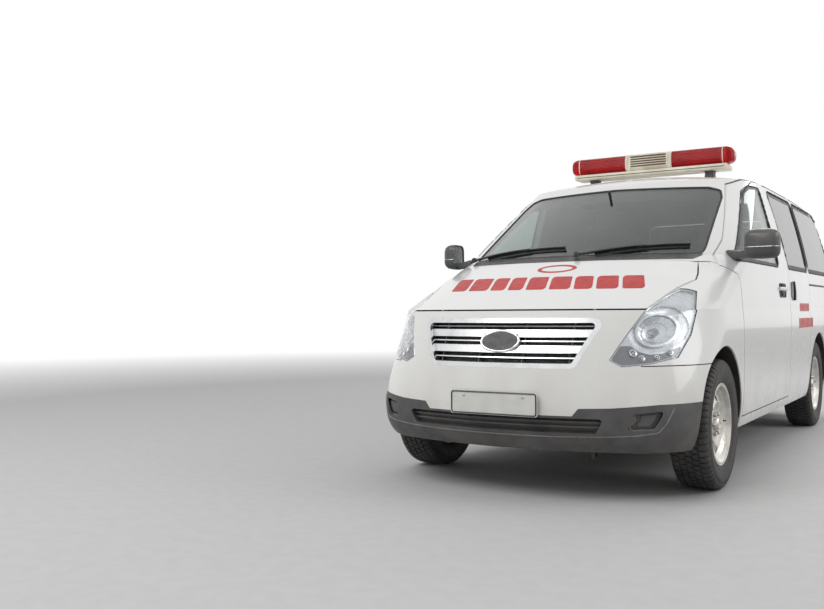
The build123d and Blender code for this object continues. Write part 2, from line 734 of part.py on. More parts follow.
# Columns: distance outwards from the wheel middle, radius
halfTyre = tyreWidth / 2
tyreRows = [(-halfTyre + 28, tyreRadius), (halfTyre - 28, tyreRadius), (halfTyre - 6, tyreRadius - 26),
            (halfTyre, tyreRadius - 70), (rimWidth / 2, rimRadius + seatGap), (-rimWidth / 2, rimRadius + seatGap),
            (-halfTyre, tyreRadius - 70), (-halfTyre + 6, tyreRadius - 26)]
halfRim = rimWidth / 2
rimRows = [(-halfRim, rimRadius), (halfRim, rimRadius), (halfRim, rimRadius - 10), (halfRim - 22, rimRadius - 22),
           (halfRim - 40, rimRadius - 42), (halfRim - 20, 120), (halfRim - 34, 80), (halfRim - 34, 0), (halfRim - 54, 0),
           (halfRim - 54, 90), (halfRim - 60, rimRadius - 42), (halfRim - 70, rimRadius - 30),
           (-halfRim, rimRadius - 22)]
wheelRows = [("front_left", 1, trackHalfFront, frontAxleY), ("front_right", -1, trackHalfFront, frontAxleY),
             ("rear_left", 1, trackHalfRear, rearAxleY), ("rear_right", -1, trackHalfRear, rearAxleY)]
handHoles = 8
for name, side, centreX, axleY in wheelRows:
    with BuildPart() as tyre:
        add(lathe(tyreRows, centreX, axleY, side))
    export(tyre, "tyre_" + name)
    with BuildPart() as rim:
        add(lathe(rimRows, centreX, axleY, side))
        with BuildSketch(Plane(origin=(side * (centreX + halfRim), axleY, wheelZ), z_dir=(side, 0, 0))):
            with PolarLocations(138, handHoles):
                Circle(17)
        extrude(amount=-80, mode=Mode.SUBTRACT)
    export(rim, "rim_" + name)

# Steering knuckles turn on ball joints above and below the wheel centre
hubFaceX = trackHalfFront + halfRim - 54
for side, sign in (("left", 1), ("right", -1)):
    with BuildPart() as knuckle:
        add(round_bar("x", (frontAxleY, wheelZ), hubRadius, *sorted((sign * (kingpinX - 30), sign * (kingpinX + 40)))))
        add(round_bar("x", (frontAxleY, wheelZ), 34, *sorted((sign * kingpinX, sign * (hubFaceX - seatGap)))))
        add(round_bar("z", (sign * kingpinX, frontAxleY), 26, wheelZ - kingpinHalf, wheelZ + kingpinHalf))
    export(knuckle, "knuckle_" + side)

# Double wishbones, springs and cross member
armThick = 26
ballGap = 0.5
armRows = [(wheelZ - kingpinHalf - ballGap - armThick, 330),
           (wheelZ + kingpinHalf + ballGap, railX + railWidth / 2)]
springX = 610
springRadius = 48
towerX = 380
springTop = wheelZ + math.sqrt(houseRadius**2 - springRadius**2) - seatGap
with BuildPart() as front_suspension:
    for z, reach in armRows:
        with BuildSketch(Plane.XY.offset(z)):
            with BuildLine():
                Polyline((reach, frontAxleY - 190), (reach + 50, frontAxleY - 190), (kingpinX + 20, frontAxleY - 26),
                         (kingpinX + 20, frontAxleY + 26), (reach + 50, frontAxleY + 190), (reach, frontAxleY + 190),
                         (reach + 20, frontAxleY), close=True)
            make_face()
        extrude(amount=armThick)
    add(round_bar("z", (springX, frontAxleY), springRadius, armRows[0][0] + armThick, springTop))
    add(slab((towerX, towerX + 60), (frontAxleY - 190, frontAxleY + 190), (armRows[0][0], railBottom)))
    mirror(about=Plane.YZ)
    add(slab((-towerX, towerX), (frontAxleY - 60, frontAxleY + 120), (armRows[0][0], armRows[0][0] + 60)))
export(front_suspension, "front_suspension")

# Rear axle with differential and leaf springs
axleTube = 42
diffRadius = 128
diffHalf = 95
springPadX = 540
leafWidth = 70
leafHalf = 560
leafThick = 30
leafDrop = 90
leafTop = 345
with BuildPart() as rear_axle:
    hubX = trackHalfRear + halfRim - 54 - seatGap
    add(round_bar("x", (rearAxleY, wheelZ), axleTube, -hubX, hubX))
    add(round_bar("x", (rearAxleY, wheelZ), diffRadius, -diffHalf, diffHalf))
    for side in (1, -1):
        with BuildSketch(Plane.YZ.offset(side * springPadX - leafWidth / 2)):
            with BuildLine():
                ThreePointArc((rearAxleY - leafHalf, leafTop), (rearAxleY, leafTop - leafDrop),
                              (rearAxleY + leafHalf, leafTop))
                Line((rearAxleY + leafHalf, leafTop), (rearAxleY + leafHalf, leafTop - leafThick))
                ThreePointArc((rearAxleY + leafHalf, leafTop - leafThick),
                              (rearAxleY, leafTop - leafDrop - leafThick),
                              (rearAxleY - leafHalf, leafTop - leafThick))
                Line((rearAxleY - leafHalf, leafTop - leafThick), (rearAxleY - leafHalf, leafTop))
            make_face()
        extrude(amount=leafWidth)
        add(slab(sorted((side * (springPadX - 40), side * (springPadX + 40))), (rearAxleY - 60, rearAxleY + 60),
                 (leafTop - leafDrop - 10, wheelZ)))
        for y in (rearAxleY - leafHalf, rearAxleY + leafHalf):
            add(slab(sorted((side * (springPadX - 50), side * (springPadX + 50))), (y - 30, y + 30),
                     (leafTop - leafThick, floorZ)))
export(rear_axle, "rear_axle")

# Drive shaft, exhaust and fuel tank hang under the floor
shaftRadius = 30
shaftZ = 340
shaftStartY = gearboxEndY + seatGap
pipeRadius = 26
pipePoints = [(210, -1500, 300), (210, 700, 300), (330, 1000, 262), (330, 2425, 262)]
silencerY = (100, 620)
hangerPoints = [(210, -600), (330, 2150)]
tankTop = floorZ
tankBottom = 250
with BuildPart() as drive_shaft:
    add(round_bar("y", (0, shaftZ), shaftRadius, shaftStartY, rearAxleY - diffRadius - seatGap))
export(drive_shaft, "drive_shaft")
with BuildPart() as exhaust:
    with BuildLine():
        Polyline(pipePoints)
    with BuildSketch(Plane(origin=pipePoints[0], z_dir=(0, 1, 0))):
        Circle(pipeRadius)
    sweep(transition=Transition.RIGHT)
    with BuildSketch(Plane.XZ.offset(-silencerY[0])):
        with Locations((pipePoints[0][0], pipePoints[0][2])):
            Ellipse(120, 62)
    extrude(amount=silencerY[0] - silencerY[1])
    for x, y in hangerPoints:
        add(slab((x - 6, x + 6), (y - 6, y + 6), (pipePoints[-1][2], floorZ - seatGap)))
export(exhaust, "exhaust")
with BuildPart() as fuel_tank:
    with Locations((-250, 480, (tankBottom + tankTop) / 2)):
        Box(300, 700, tankTop - tankBottom)
    fillet(fuel_tank.edges().filter_by(Axis.Y), 24)
export(fuel_tank, "fuel_tank")

# Dashboard with the column on the right-hand drive side
driverX = -400
wheelCentre = (-780, 1140)
dashHalf = 740
with BuildPart() as dashboard:
    with BuildSketch(Plane.YZ.offset(-dashHalf)):
        with BuildLine():
            Polyline((firewallY + firewallThick, 900), (firewallY + firewallThick, 1225), (-1240, 1262), (-1010, 1230),
                     (-985, 1130), (-1040, 900), close=True)
        make_face()
    extrude(amount=2 * dashHalf)
    with BuildSketch(Plane.YZ.offset(-130)):
        with BuildLine():
            Polyline((-1360, floorZ + floorThick), (-1360, 960), (-1020, 960), (-990, floorZ + floorThick), close=True)
        make_face()
    extrude(amount=260)
export(dashboard, "dashboard")
with BuildPart() as steering_wheel:
    rake = Plane(origin=(driverX, *wheelCentre), z_dir=(0, 0.85, 0.53))
    with BuildSketch(Plane(origin=rake.origin + rake.x_dir * 185, x_dir=rake.x_dir, z_dir=rake.y_dir)):
        Circle(15)
    revolve(axis=Axis(rake.origin, rake.z_dir))
    with BuildSketch(rake.offset(-14)):
        with PolarLocations(0, 3, start_angle=-90):
            with Locations((92, 0)):
                Rectangle(184, 34)
        Circle(62)
    extrude(amount=24)
    with BuildSketch(rake.offset(-14)):
        Circle(28)
    extrude(amount=-360)
    add(dashboard.part, mode=Mode.SUBTRACT)
export(steering_wheel, "steering_wheel")

# Front seats: base, cushion, backrest and head restraint
seatX = 400
# Columns: y front, y back, half width, z low, z high
seatBlocks = [(-560, -140, 170, floorZ + floorThick, 740), (-640, -110, 245, 740, 880)]
with BuildPart() as front_seats:
    for yFront, yBack, halfWide, zLow, zHigh in seatBlocks:
        add(slab((seatX - halfWide, seatX + halfWide), (yFront, yBack), (zLow, zHigh)))
    for z, y, halfWide, halfDeep in ((820, -110, 240, 70), (1250, -20, 235, 60), (1400, 10, 190, 45)):
        with BuildSketch(Plane.XY.offset(z)):
            with Locations((seatX, y)):
                RectangleRounded(2 * halfWide, 2 * halfDeep, 40)
    loft()
    for z, y, halfWide, halfDeep in ((1400, 5, 120, 35), (1580, 30, 125, 45)):
        with BuildSketch(Plane.XY.offset(z)):
            with Locations((seatX, y)):
                RectangleRounded(2 * halfWide, 2 * halfDeep, 30)
    loft()
    mirror(about=Plane.YZ)
export(front_seats, "front_seats")

# Attendant bench along the left wall
with BuildPart() as rear_bench:
    add(slab((420, 860), (330, 1060), (floorZ + floorThick, 950)))
    fillet(rear_bench.edges().filter_by(Axis.Y).group_by(Axis.Z)[-1], 30)
export(rear_bench, "rear_bench")

# Light bar on two cross rails
footZ = 1925
railTopZ = barTubeZ - barTubeRadius
with BuildPart() as light_bar_base:
    add(slab((-barHalf + 40, barHalf - 40), (barY - 90, barY + 90), (railTopZ - 42, railTopZ)))
    fillet(light_bar_base.edges().filter_by(Axis.X), 14)
    for x in (-440, 440):
        add(slab((x - 45, x + 45), (barY - 55, barY + 55), (footZ - 60, railTopZ - 30)))
    with BuildSketch(Plane.YZ.offset(-barSpeakerHalf)):
        with Locations((barY, barTubeZ)):
            RectangleRounded(2 * barTubeRadius + 20, 2 * barTubeRadius, 30)
    extrude(amount=2 * barSpeakerHalf)
    add(outer, mode=Mode.SUBTRACT)
export(light_bar_base, "light_bar_base")
with BuildPart() as light_bar_lenses:
    with BuildSketch(Plane.YZ.offset(barSpeakerHalf)):
        with Locations((barY, barTubeZ)):
            RectangleRounded(2 * barTubeRadius + 26, 2 * barTubeRadius, 50)
    extrude(amount=barHalf - barSpeakerHalf)
    fillet(light_bar_lenses.faces().sort_by(Axis.X)[-1].edges(), 30)
    mirror(about=Plane.YZ)
export(light_bar_lenses, "light_bar_lenses")

# Wipers rest along the bottom of the windshield. Columns: x and height at the foot, middle and tip
wiperRows = [((-735, 1276), (-420, 1328), (-60, 1342)), ((60, 1276), (370, 1328), (660, 1342))]
wiperStand = 16
wiperWidth = 14
wiperHeight = 20
pivotRadius = 12
pivotLength = 20.5
with BuildPart() as wipers:
    for row in wiperRows:
        points = [Vector(x, front_y(x, z) - wiperStand, z + wiperStand) for x, z in row]
        with BuildLine():
            arc = ThreePointArc(*points)
        with BuildSketch(Plane(origin=arc @ 0, z_dir=arc % 0)):
            Rectangle(wiperWidth, wiperHeight)
        sweep(transition=Transition.RIGHT)
        with BuildSketch(Plane(origin=points[0], z_dir=(0, 0.51, -0.86))):
            Circle(pivotRadius)
        extrude(amount=pivotLength)
    add(outer, mode=Mode.SUBTRACT)
export(wipers, "wipers")

# Number plates, blank: one on the front bumper, one on the tailgate
rearPlateZ = 640


def plate(backY, side, z):
    """Plate whose back face stands at a y value. Side is -1 at the front and 1 at the rear."""
    with BuildPart() as blank:
        with BuildSketch(Plane.XZ.offset(-backY)):
            with Locations((0, z)):
                RectangleRounded(plateWidth, plateHeight, 12)
        extrude(amount=-side * plateThick)
    return blank.part


with BuildPart() as front_plate:
    add(plate(plateFrontY + plateThick, -1, plateZ))
export(front_plate, "front_plate")
with BuildPart() as rear_plate:
    add(plate(plateRecessY + seatGap, 1, rearPlateZ))
export(rear_plate, "rear_plate")

# Mud flaps hang from the lower edge of the body behind the wheels
flapRows = [(frontAxleY, sillBottom), (rearAxleY, sillZ)]
flapThick = 8
with BuildPart() as mud_flaps:
    for axleY, top in flapRows:
        add(slab((740, 890), (axleY + archRadius, axleY + archRadius + flapThick), (170, top - seatGap)))
    mirror(about=Plane.YZ)
export(mud_flaps, "mud_flaps")
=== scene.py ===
import json
import math
import bmesh
import bpy
from mathutils import Matrix, Vector
from mathutils.bvhtree import BVHTree
from mathutils.geometry import delaunay_2d_cdt
from mathutils.kdtree import KDTree

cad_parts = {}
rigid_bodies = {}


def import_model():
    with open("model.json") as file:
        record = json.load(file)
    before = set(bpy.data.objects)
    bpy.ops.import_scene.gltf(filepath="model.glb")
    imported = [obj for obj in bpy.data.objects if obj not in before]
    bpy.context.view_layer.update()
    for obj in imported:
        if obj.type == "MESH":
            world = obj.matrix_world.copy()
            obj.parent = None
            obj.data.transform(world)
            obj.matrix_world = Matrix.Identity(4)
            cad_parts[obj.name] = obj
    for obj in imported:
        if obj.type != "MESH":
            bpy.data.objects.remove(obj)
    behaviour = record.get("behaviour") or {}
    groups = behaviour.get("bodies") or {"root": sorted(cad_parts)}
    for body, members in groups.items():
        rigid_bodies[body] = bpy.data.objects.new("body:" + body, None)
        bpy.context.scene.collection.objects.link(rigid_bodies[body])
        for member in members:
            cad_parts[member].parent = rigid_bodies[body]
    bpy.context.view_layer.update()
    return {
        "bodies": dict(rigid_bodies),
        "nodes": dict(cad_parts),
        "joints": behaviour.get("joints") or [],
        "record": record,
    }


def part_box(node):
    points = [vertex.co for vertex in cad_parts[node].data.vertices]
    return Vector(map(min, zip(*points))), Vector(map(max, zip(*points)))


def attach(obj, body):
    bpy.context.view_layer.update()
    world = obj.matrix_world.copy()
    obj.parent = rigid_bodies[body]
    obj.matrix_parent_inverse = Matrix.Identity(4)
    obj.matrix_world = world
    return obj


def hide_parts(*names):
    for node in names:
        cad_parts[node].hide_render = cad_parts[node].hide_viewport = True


# Van ambulance. Metres, Z up, front towards -Y, +X is the van's left side.

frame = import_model()
nodes = frame["nodes"]
print("frame loaded:", len(nodes), "nodes")

view = {
    "place": (2.1761, -6.8131, 0.9756),
    "yaw": 0.5601,
    "pitch": 0.0072,
    "roll": -0.0064,
    "focalPixels": 923.84,
    "photoWidth": 824,
    "filmWidth": 36.0,
}


def makeCamera():
    yaw, pitch, roll = view["yaw"], view["pitch"], view["roll"]
    forward = Vector((-math.sin(yaw) * math.cos(pitch), math.cos(yaw) * math.cos(pitch), math.sin(pitch)))
    level = Vector((math.cos(yaw), math.sin(yaw), 0))
    upright = level.cross(forward)
    right = level * math.cos(roll) + upright * math.sin(roll)
    up = upright * math.cos(roll) - level * math.sin(roll)
    lens = bpy.data.cameras.new("photoCamera")
    lens.sensor_width = view["filmWidth"]
    lens.lens = view["filmWidth"] * view["focalPixels"] / view["photoWidth"]
    lens.clip_end = 200
    camera = bpy.data.objects.new("photoCamera", lens)
    turn = Matrix((right, up, -forward)).transposed().to_4x4()
    camera.matrix_world = Matrix.Translation(view["place"]) @ turn
    bpy.context.scene.collection.objects.link(camera)
    bpy.context.scene.camera = camera


makeCamera()

# Shader building blocks


# One shader or geometry node. Values and links go to its inputs by name or number.
def addNode(tree, kind, links=None, **settings):
    node = tree.nodes.new(kind)
    for key, value in settings.items():
        setattr(node, key, value)
    for key, value in (links or {}).items():
        if isinstance(value, bpy.types.NodeSocket):
            tree.links.new(value, node.inputs[key])
        else:
            node.inputs[key].default_value = value
    return node


# Object coordinates, stretched per axis.
def objectPoint(tree, scale=(1, 1, 1)):
    coordinate = addNode(tree, "ShaderNodeTexCoord")
    links = {"Vector": coordinate.outputs["Object"], "Scale": scale}
    return addNode(tree, "ShaderNodeMapping", links).outputs[0]


def noise(tree, scale, detail=3.0, stretch=(1, 1, 1)):
    point = objectPoint(tree, stretch)
    node = addNode(tree, "ShaderNodeTexNoise", {"Vector": point, "Scale": scale, "Detail": detail})
    return node.outputs["Fac"]


def mapRange(tree, value, fromLow, fromHigh, toLow=0.0, toHigh=1.0):
    links = {"Value": value, "From Min": fromLow, "From Max": fromHigh, "To Min": toLow, "To Max": toHigh}
    return addNode(tree, "ShaderNodeMapRange", links).outputs[0]


# Noise between two of its levels, spread over a new range.
def patches(tree, scale, detail, low, high, toLow=0.0, toHigh=1.0, stretch=(1, 1, 1)):
    return mapRange(tree, noise(tree, scale, detail, stretch), low, high, toLow, toHigh)


def math2(tree, operation, a, b=0.0):
    return addNode(tree, "ShaderNodeMath", {0: a, 1: b}, operation=operation).outputs[0]


def mixColors(tree, share, first, second):
    node = addNode(tree, "ShaderNodeMix", {0: share, 6: first, 7: second}, data_type="RGBA")
    return node.outputs[2]


# Height above the ground.
def heightOf(tree):
    coordinate = addNode(tree, "ShaderNodeTexCoord")
    split = addNode(tree, "ShaderNodeSeparateXYZ", {0: coordinate.outputs["Object"]})
    return split.outputs[2]


def bump(tree, shader, height, strength, distance):
    node = addNode(tree, "ShaderNodeBump", {"Height": height, "Strength": strength, "Distance": distance})
    tree.links.new(node.outputs[0], shader.inputs["Normal"])


# Grain of small cells, per metre.
def grained(tree, shader, cellsPerMetre, strength, distance):
    cells = addNode(tree, "ShaderNodeTexVoronoi", {"Vector": objectPoint(tree), "Scale": cellsPerMetre})
    bump(tree, shader, cells.outputs["Distance"], strength, distance)


def feed(tree, shader, color, roughness=None):
    tree.links.new(color, shader.inputs["Base Color"])
    if roughness:
        tree.links.new(roughness, shader.inputs["Roughness"])


# Material with its tree and main shader. Values in fixed go to the shader's own sockets.
def newMaterial(name, roughness, metallic=0.0, **fixed):
    material = bpy.data.materials.new(name)
    material.use_nodes = True
    tree = material.node_tree
    shader = tree.nodes["Principled BSDF"]
    shader.inputs["Roughness"].default_value = roughness
    shader.inputs["Metallic"].default_value = metallic
    for key, value in fixed.items():
        shader.inputs[key.replace("_", " ")].default_value = value
    return material, tree, shader


def rgb(red, green, blue):
    return (red, green, blue, 1.0)


def toned(color, share, added=0.0):
    return rgb(*(min(channel * share + added, 1) for channel in color))


# Gloss paint with fine orange peel, faint cloudiness and road dust that thickens towards the sills.
def paintFinish(name, color, dirt=0.5):
    material, tree, shader = newMaterial(name, 0.3, Coat_Weight=0.6, Coat_Roughness=0.06)
    dusty = rgb(*(channel * share for channel, share in zip(color, (0.72, 0.67, 0.6))))
    cloud = mixColors(tree, patches(tree, 1.7, 4, 0.35, 0.7), rgb(*color), toned(color, 0.95))
    low = mapRange(tree, heightOf(tree), 0.85, 0.25, 0.0, dirt)
    dust = math2(tree, "MULTIPLY", low, patches(tree, 5.5, 8, 0.38, 0.72, stretch=(1, 1, 0.5)))
    feed(tree, shader, mixColors(tree, dust, cloud, dusty), mapRange(tree, dust, 0, 1, 0.26, 0.62))
    bump(tree, shader, noise(tree, 210, 2), 0.05, 0.0006)
    return material


# Moulded plastic with a fine leather grain and dulled patches.
def plasticFinish(name, color, roughness=0.55, grain=420.0, depth=0.18, dust=0.0):
    material, tree, shader = newMaterial(name, roughness)
    tinted = mixColors(tree, patches(tree, 7, 6, 0.42, 0.75), rgb(*color), toned(color, 1.5, 0.012))
    if dust:
        low = mapRange(tree, heightOf(tree), 0.75, 0.2, 0.0, dust)
        spots = math2(tree, "MULTIPLY", low, patches(tree, 9, 8, 0.35, 0.7))
        tinted = mixColors(tree, spots, tinted, rgb(0.23, 0.2, 0.165))
    feed(tree, shader, tinted, patches(tree, 30, 5, 0.3, 0.7, roughness - 0.08, roughness + 0.1))
    grained(tree, shader, grain, depth, 0.0006)
    return material


# Bright or satin metal. Grime is the share of dull brown film in the low places of the noise.
def metalFinish(name, color, roughness=0.15, brushed=(1, 1, 1), grime=0.0):
    material, tree, shader = newMaterial(name, roughness, 1.0)
    film = patches(tree, 14, 7, 0.45, 0.8, 0.0, 0.25 + grime)
    streaks = noise(tree, 60, 5, brushed)
    feed(tree, shader, mixColors(tree, film, rgb(*color), rgb(0.2, 0.17, 0.14)),
         mapRange(tree, streaks, 0.3, 0.7, roughness * 0.7, roughness * 1.5 + grime * 0.3))
    bump(tree, shader, streaks, 0.06, 0.0005)
    return material


def rubberFinish(name, color, dust):
    material, tree, shader = newMaterial(name, 0.72)
    dusty = patches(tree, 11, 8, 0.4, 0.75, 0.0, dust)
    feed(tree, shader, mixColors(tree, dusty, rgb(*color), rgb(0.12, 0.108, 0.095)),
         mapRange(tree, dusty, 0, 1, 0.6, 0.9))
    bump(tree, shader, noise(tree, 260, 4), 0.2, 0.0006)
    return material


# Underbody steel: chipped paint, rust in patches and road film.
def steelFinish(name, color, rust):
    material, tree, shader = newMaterial(name, 0.65, 0.35)
    rusty = patches(tree, 8, 9, 0.5, 0.68, 0.0, rust)
    film = patches(tree, 2.6, 5, 0.35, 0.7, 0.0, 0.55)
    rusted = mixColors(tree, rusty, rgb(*color), rgb(0.17, 0.065, 0.03))
    feed(tree, shader, mixColors(tree, film, rusted, rgb(0.13, 0.11, 0.09)),
         mapRange(tree, rusty, 0, 1, 0.5, 0.9))
    bump(tree, shader, noise(tree, 120, 6), 0.25, 0.0012)
    return material


# Woven cloth: two crossed wave patterns with lint and worn shade, and painted shade darkening the hollows
# between the threads.
def clothFinish(name, color, second, threads=950.0):
    material, tree, shader = newMaterial(name, 0.92, Sheen_Weight=0.35)
    waves = []
    for direction in ("X", "Y"):
        links = {"Vector": objectPoint(tree), "Scale": threads / 6, "Distortion": 0.6, "Detail": 2.0}
        wave = addNode(tree, "ShaderNodeTexWave", links, bands_direction=direction)
        waves.append(wave.outputs["Fac"])
    weave = math2(tree, "MULTIPLY", *waves)
    share = math2(tree, "MULTIPLY", patches(tree, 6, 7, 0.35, 0.7), 0.6)
    colored = mixColors(tree, share, rgb(*color), rgb(*second))
    # Painted shade: the colour turns darker where the weave is low, between the threads.
    feed(tree, shader, mixColors(tree, mapRange(tree, weave, 0, 0.6, 0.35, 0.0), colored, toned(color, 0.4)))
    bump(tree, shader, weave, 0.35, 0.0008)
    return material


# Coated cloth with creases and a soft shine.
def vinylFinish(name, color):
    material, tree, shader = newMaterial(name, 0.42, Coat_Weight=0.15)
    feed(tree, shader, mixColors(tree, patches(tree, 5, 7, 0.4, 0.7), rgb(*color), toned(color, 1.35, 0.02)),
         patches(tree, 18, 5, 0.3, 0.7, 0.34, 0.55))
    grained(tree, shader, 260.0, 0.22, 0.0008)
    return material


# Flat glass: it lets light through tinted and mirrors more at a slant. Film is a dark layer's share.
def paneFinish(name, tint, film=0.0):
    material, tree, shader = newMaterial(name, 0.03)
    tree.nodes.remove(shader)
    clear = addNode(tree, "ShaderNodeBsdfTransparent", {"Color": rgb(*tint)})
    dark = addNode(tree, "ShaderNodeBsdfPrincipled",
                   {"Base Color": rgb(0.02, 0.022, 0.024), "Roughness": 0.04})
    veiled = addNode(tree, "ShaderNodeMixShader", {0: film, 1: clear.outputs[0], 2: dark.outputs[0]})
    mirror = addNode(tree, "ShaderNodeBsdfGlossy", {"Color": rgb(1, 1, 1), "Roughness": 0.03})
    slant = addNode(tree, "ShaderNodeLayerWeight", {"Blend": 0.5}).outputs["Facing"]
    share = mapRange(tree, math2(tree, "POWER", slant, 4.0), 0, 1, 0.035, 0.75)
    share = math2(tree, "ADD", share, patches(tree, 3.5, 6, 0.4, 0.75, 0.0, 0.015))
    whole = addNode(tree, "ShaderNodeMixShader", {0: share, 1: veiled.outputs[0], 2: mirror.outputs[0]})
    tree.links.new(whole.outputs[0], tree.nodes["Material Output"].inputs["Surface"])
    return material


# Clear or coloured lamp plastic. Through is the share of light that passes, ribs the scale of its flutes.
def lensFinish(name, color, through, roughness=0.08, ribs=0.0):
    material, tree, shader = newMaterial(name, roughness, IOR=1.3, Transmission_Weight=through)
    feed(tree, shader, mixColors(tree, patches(tree, 9, 4, 0.35, 0.7), rgb(*color), toned(color, 0.75)))
    if ribs:
        wave = addNode(tree, "ShaderNodeTexWave", {"Vector": objectPoint(tree), "Scale": ribs},
                       bands_direction="Z")
        bump(tree, shader, wave.outputs["Fac"], 0.5, 0.002)
    else:
        bump(tree, shader, noise(tree, 40, 3), 0.04, 0.0006)
    return material


# Matt painted or printed surface with slight mottling.
def plainFinish(name, color, roughness=0.6, mottle=0.12):
    material, tree, shader = newMaterial(name, roughness)
    mottled = mixColors(tree, patches(tree, 12, 6, 0.35, 0.7), rgb(*color), toned(color, 1 - mottle))
    feed(tree, shader, mottled, patches(tree, 25, 4, 0.3, 0.7, roughness - 0.06, roughness + 0.08))
    bump(tree, shader, noise(tree, 320, 3), 0.08, 0.0005)
    return material


whitePaint = paintFinish("whitePaint", (0.84, 0.84, 0.83))
# Bumper paint is the white paint made darker and warmer: painted shade of the forward-facing bumper, which
# gets less of the light from above than the hood.
shadedBumperPaint = paintFinish("shadedBumperPaint", (0.8, 0.795, 0.77), 0.6)
darkTrim = plasticFinish("darkTrim", (0.062, 0.062, 0.064), 0.52, dust=0.35)
blackTrim = plasticFinish("blackTrim", (0.016, 0.016, 0.017), 0.45, dust=0.15)
glossBlack = plasticFinish("glossBlack", (0.012, 0.012, 0.013), 0.16, 900.0, 0.03)
mirrorShell = plasticFinish("mirrorShell", (0.075, 0.076, 0.07), 0.34, 600.0, 0.08)
chrome = metalFinish("chrome", (0.78, 0.79, 0.8), 0.1)
satinSilver = metalFinish("satinSilver", (0.66, 0.67, 0.68), 0.27, (1, 1, 30))
reflector = metalFinish("reflector", (0.86, 0.87, 0.88), 0.13)
wheelSilver = metalFinish("wheelSilver", (0.62, 0.6, 0.56), 0.36, (1, 1, 1), 0.25)
nutSteel = metalFinish("nutSteel", (0.5, 0.49, 0.47), 0.3, (1, 1, 1), 0.2)
dullSteel = metalFinish("dullSteel", (0.36, 0.33, 0.3), 0.5, (1, 1, 1), 0.5)
sealRubber = rubberFinish("sealRubber", (0.014, 0.014, 0.015), 0.12)
treadRubber = rubberFinish("treadRubber", (0.03, 0.03, 0.031), 0.55)
flapRubber = rubberFinish("flapRubber", (0.025, 0.024, 0.023), 0.6)
frameSteel = steelFinish("frameSteel", (0.03, 0.03, 0.031), 0.35)
castIron = steelFinish("castIron", (0.12, 0.115, 0.11), 0.5)
underseal = steelFinish("underseal", (0.035, 0.031, 0.028), 0.12)
clearPane = paneFinish("clearPane", (0.78, 0.84, 0.82), 0.0)
screenPane = paneFinish("screenPane", (0.62, 0.68, 0.66), 0.12)
tintedPane = paneFinish("tintedPane", (0.16, 0.18, 0.19), 0.45)
clearLens = paneFinish("clearLens", (0.93, 0.94, 0.95), 0.0)
redTube = lensFinish("redTube", (0.7, 0.008, 0.014), 0.5, 0.07)
redLens = lensFinish("redLens", (0.58, 0.006, 0.009), 0.4, 0.06, ribs=29.9857)
amberLens = lensFinish("amberLens", (0.85, 0.3, 0.02), 0.35, 0.12, ribs=29.9857)
whiteLens = lensFinish("whiteLens", (0.85, 0.86, 0.86), 0.35, 0.12, ribs=29.9857)
creamPlastic = plasticFinish("creamPlastic", (0.74, 0.69, 0.56), 0.4, 700.0, 0.06)
slotBrown = plainFinish("slotBrown", (0.14, 0.075, 0.045), 0.7)
markRed = plainFinish("markRed", (0.55, 0.014, 0.013), 0.45, 0.2)
badgeDark = plasticFinish("badgeDark", (0.022, 0.022, 0.024), 0.4, 800.0, 0.04)
# Lighter, glossier grey trim. On the bumper lip its lighter tone is a painted highlight.
trimSheen = plasticFinish("trimSheen", (0.13, 0.13, 0.132), 0.3, 600.0, 0.06)
lampSilver = metalFinish("lampSilver", (0.7, 0.71, 0.72), 0.3)
lampDark = metalFinish("lampDark", (0.2, 0.2, 0.21), 0.35)
bulbGlass = lensFinish("bulbGlass", (0.9, 0.91, 0.93), 0.5, 0.05)
plateWhite = plainFinish("plateWhite", (0.72, 0.72, 0.68), 0.4)
cabinPlastic = plasticFinish("cabinPlastic", (0.16, 0.158, 0.155), 0.62, 500.0, 0.2)
cabinPale = plasticFinish("cabinPale", (0.42, 0.4, 0.37), 0.66, 500.0, 0.15)
liningCloth = clothFinish("liningCloth", (0.44, 0.43, 0.4), (0.38, 0.37, 0.34), 700.0)
seatCloth = clothFinish("seatCloth", (0.16, 0.17, 0.19), (0.24, 0.25, 0.27))
seatSide = vinylFinish("seatSide", (0.09, 0.09, 0.095))
benchVinyl = vinylFinish("benchVinyl", (0.07, 0.13, 0.33))
print("materials made:", len(bpy.data.materials))

# Meshes


# Object at the origin with one material, smooth apart from edges sharper than the angle.
def linkMesh(name, mesh, material, sharpAngle=35.0):
    mesh.materials.clear()
    mesh.materials.append(material)
    mesh.shade_smooth()
    mesh.set_sharp_from_angle(angle=math.radians(sharpAngle))
    thing = bpy.data.objects.new(name, mesh)
    bpy.context.scene.collection.objects.link(thing)
    return thing


def meshOf(name, points, faces):
    mesh = bpy.data.meshes.new(name)
    mesh.from_pydata([tuple(point) for point in points], [], faces)
    mesh.validate()
    return mesh


# Merges doubles and turns the faces of a closed mesh outwards.
def tidyNormals(mesh, merge=1e-5):
    work = bmesh.new()
    work.from_mesh(mesh)
    bmesh.ops.remove_doubles(work, verts=work.verts, dist=merge)
    bmesh.ops.recalc_face_normals(work, faces=work.faces)
    work.to_mesh(mesh)
    work.free()
    return mesh


# One mesh from several.
def joined(name, meshes):
    work = bmesh.new()
    for mesh in meshes:
        work.from_mesh(mesh)
    whole = bpy.data.meshes.new(name)
    work.to_mesh(whole)
    work.free()
    return whole


def moved(mesh, matrix):
    mesh.transform(matrix)
    if matrix.determinant() < 0:
        mesh.flip_normals()
    return mesh


# Mirrors across the centre plane for the right side.
def flipX(side):
    return Matrix.Diagonal((math.copysign(1, side), 1, 1, 1))


# Moves a mesh to a spot and turns its X towards a direction.
def placed(mesh, spot, direction):
    turn = Vector(direction).to_track_quat("X", "Z").to_matrix().to_4x4()
    return moved(mesh, Matrix.Translation(spot) @ turn)


# Directions around a circle, as (cosine, sine).
def roundTurn(count):
    return [(math.cos(2 * math.pi * i / count), math.sin(2 * math.pi * i / count)) for i in range(count)]


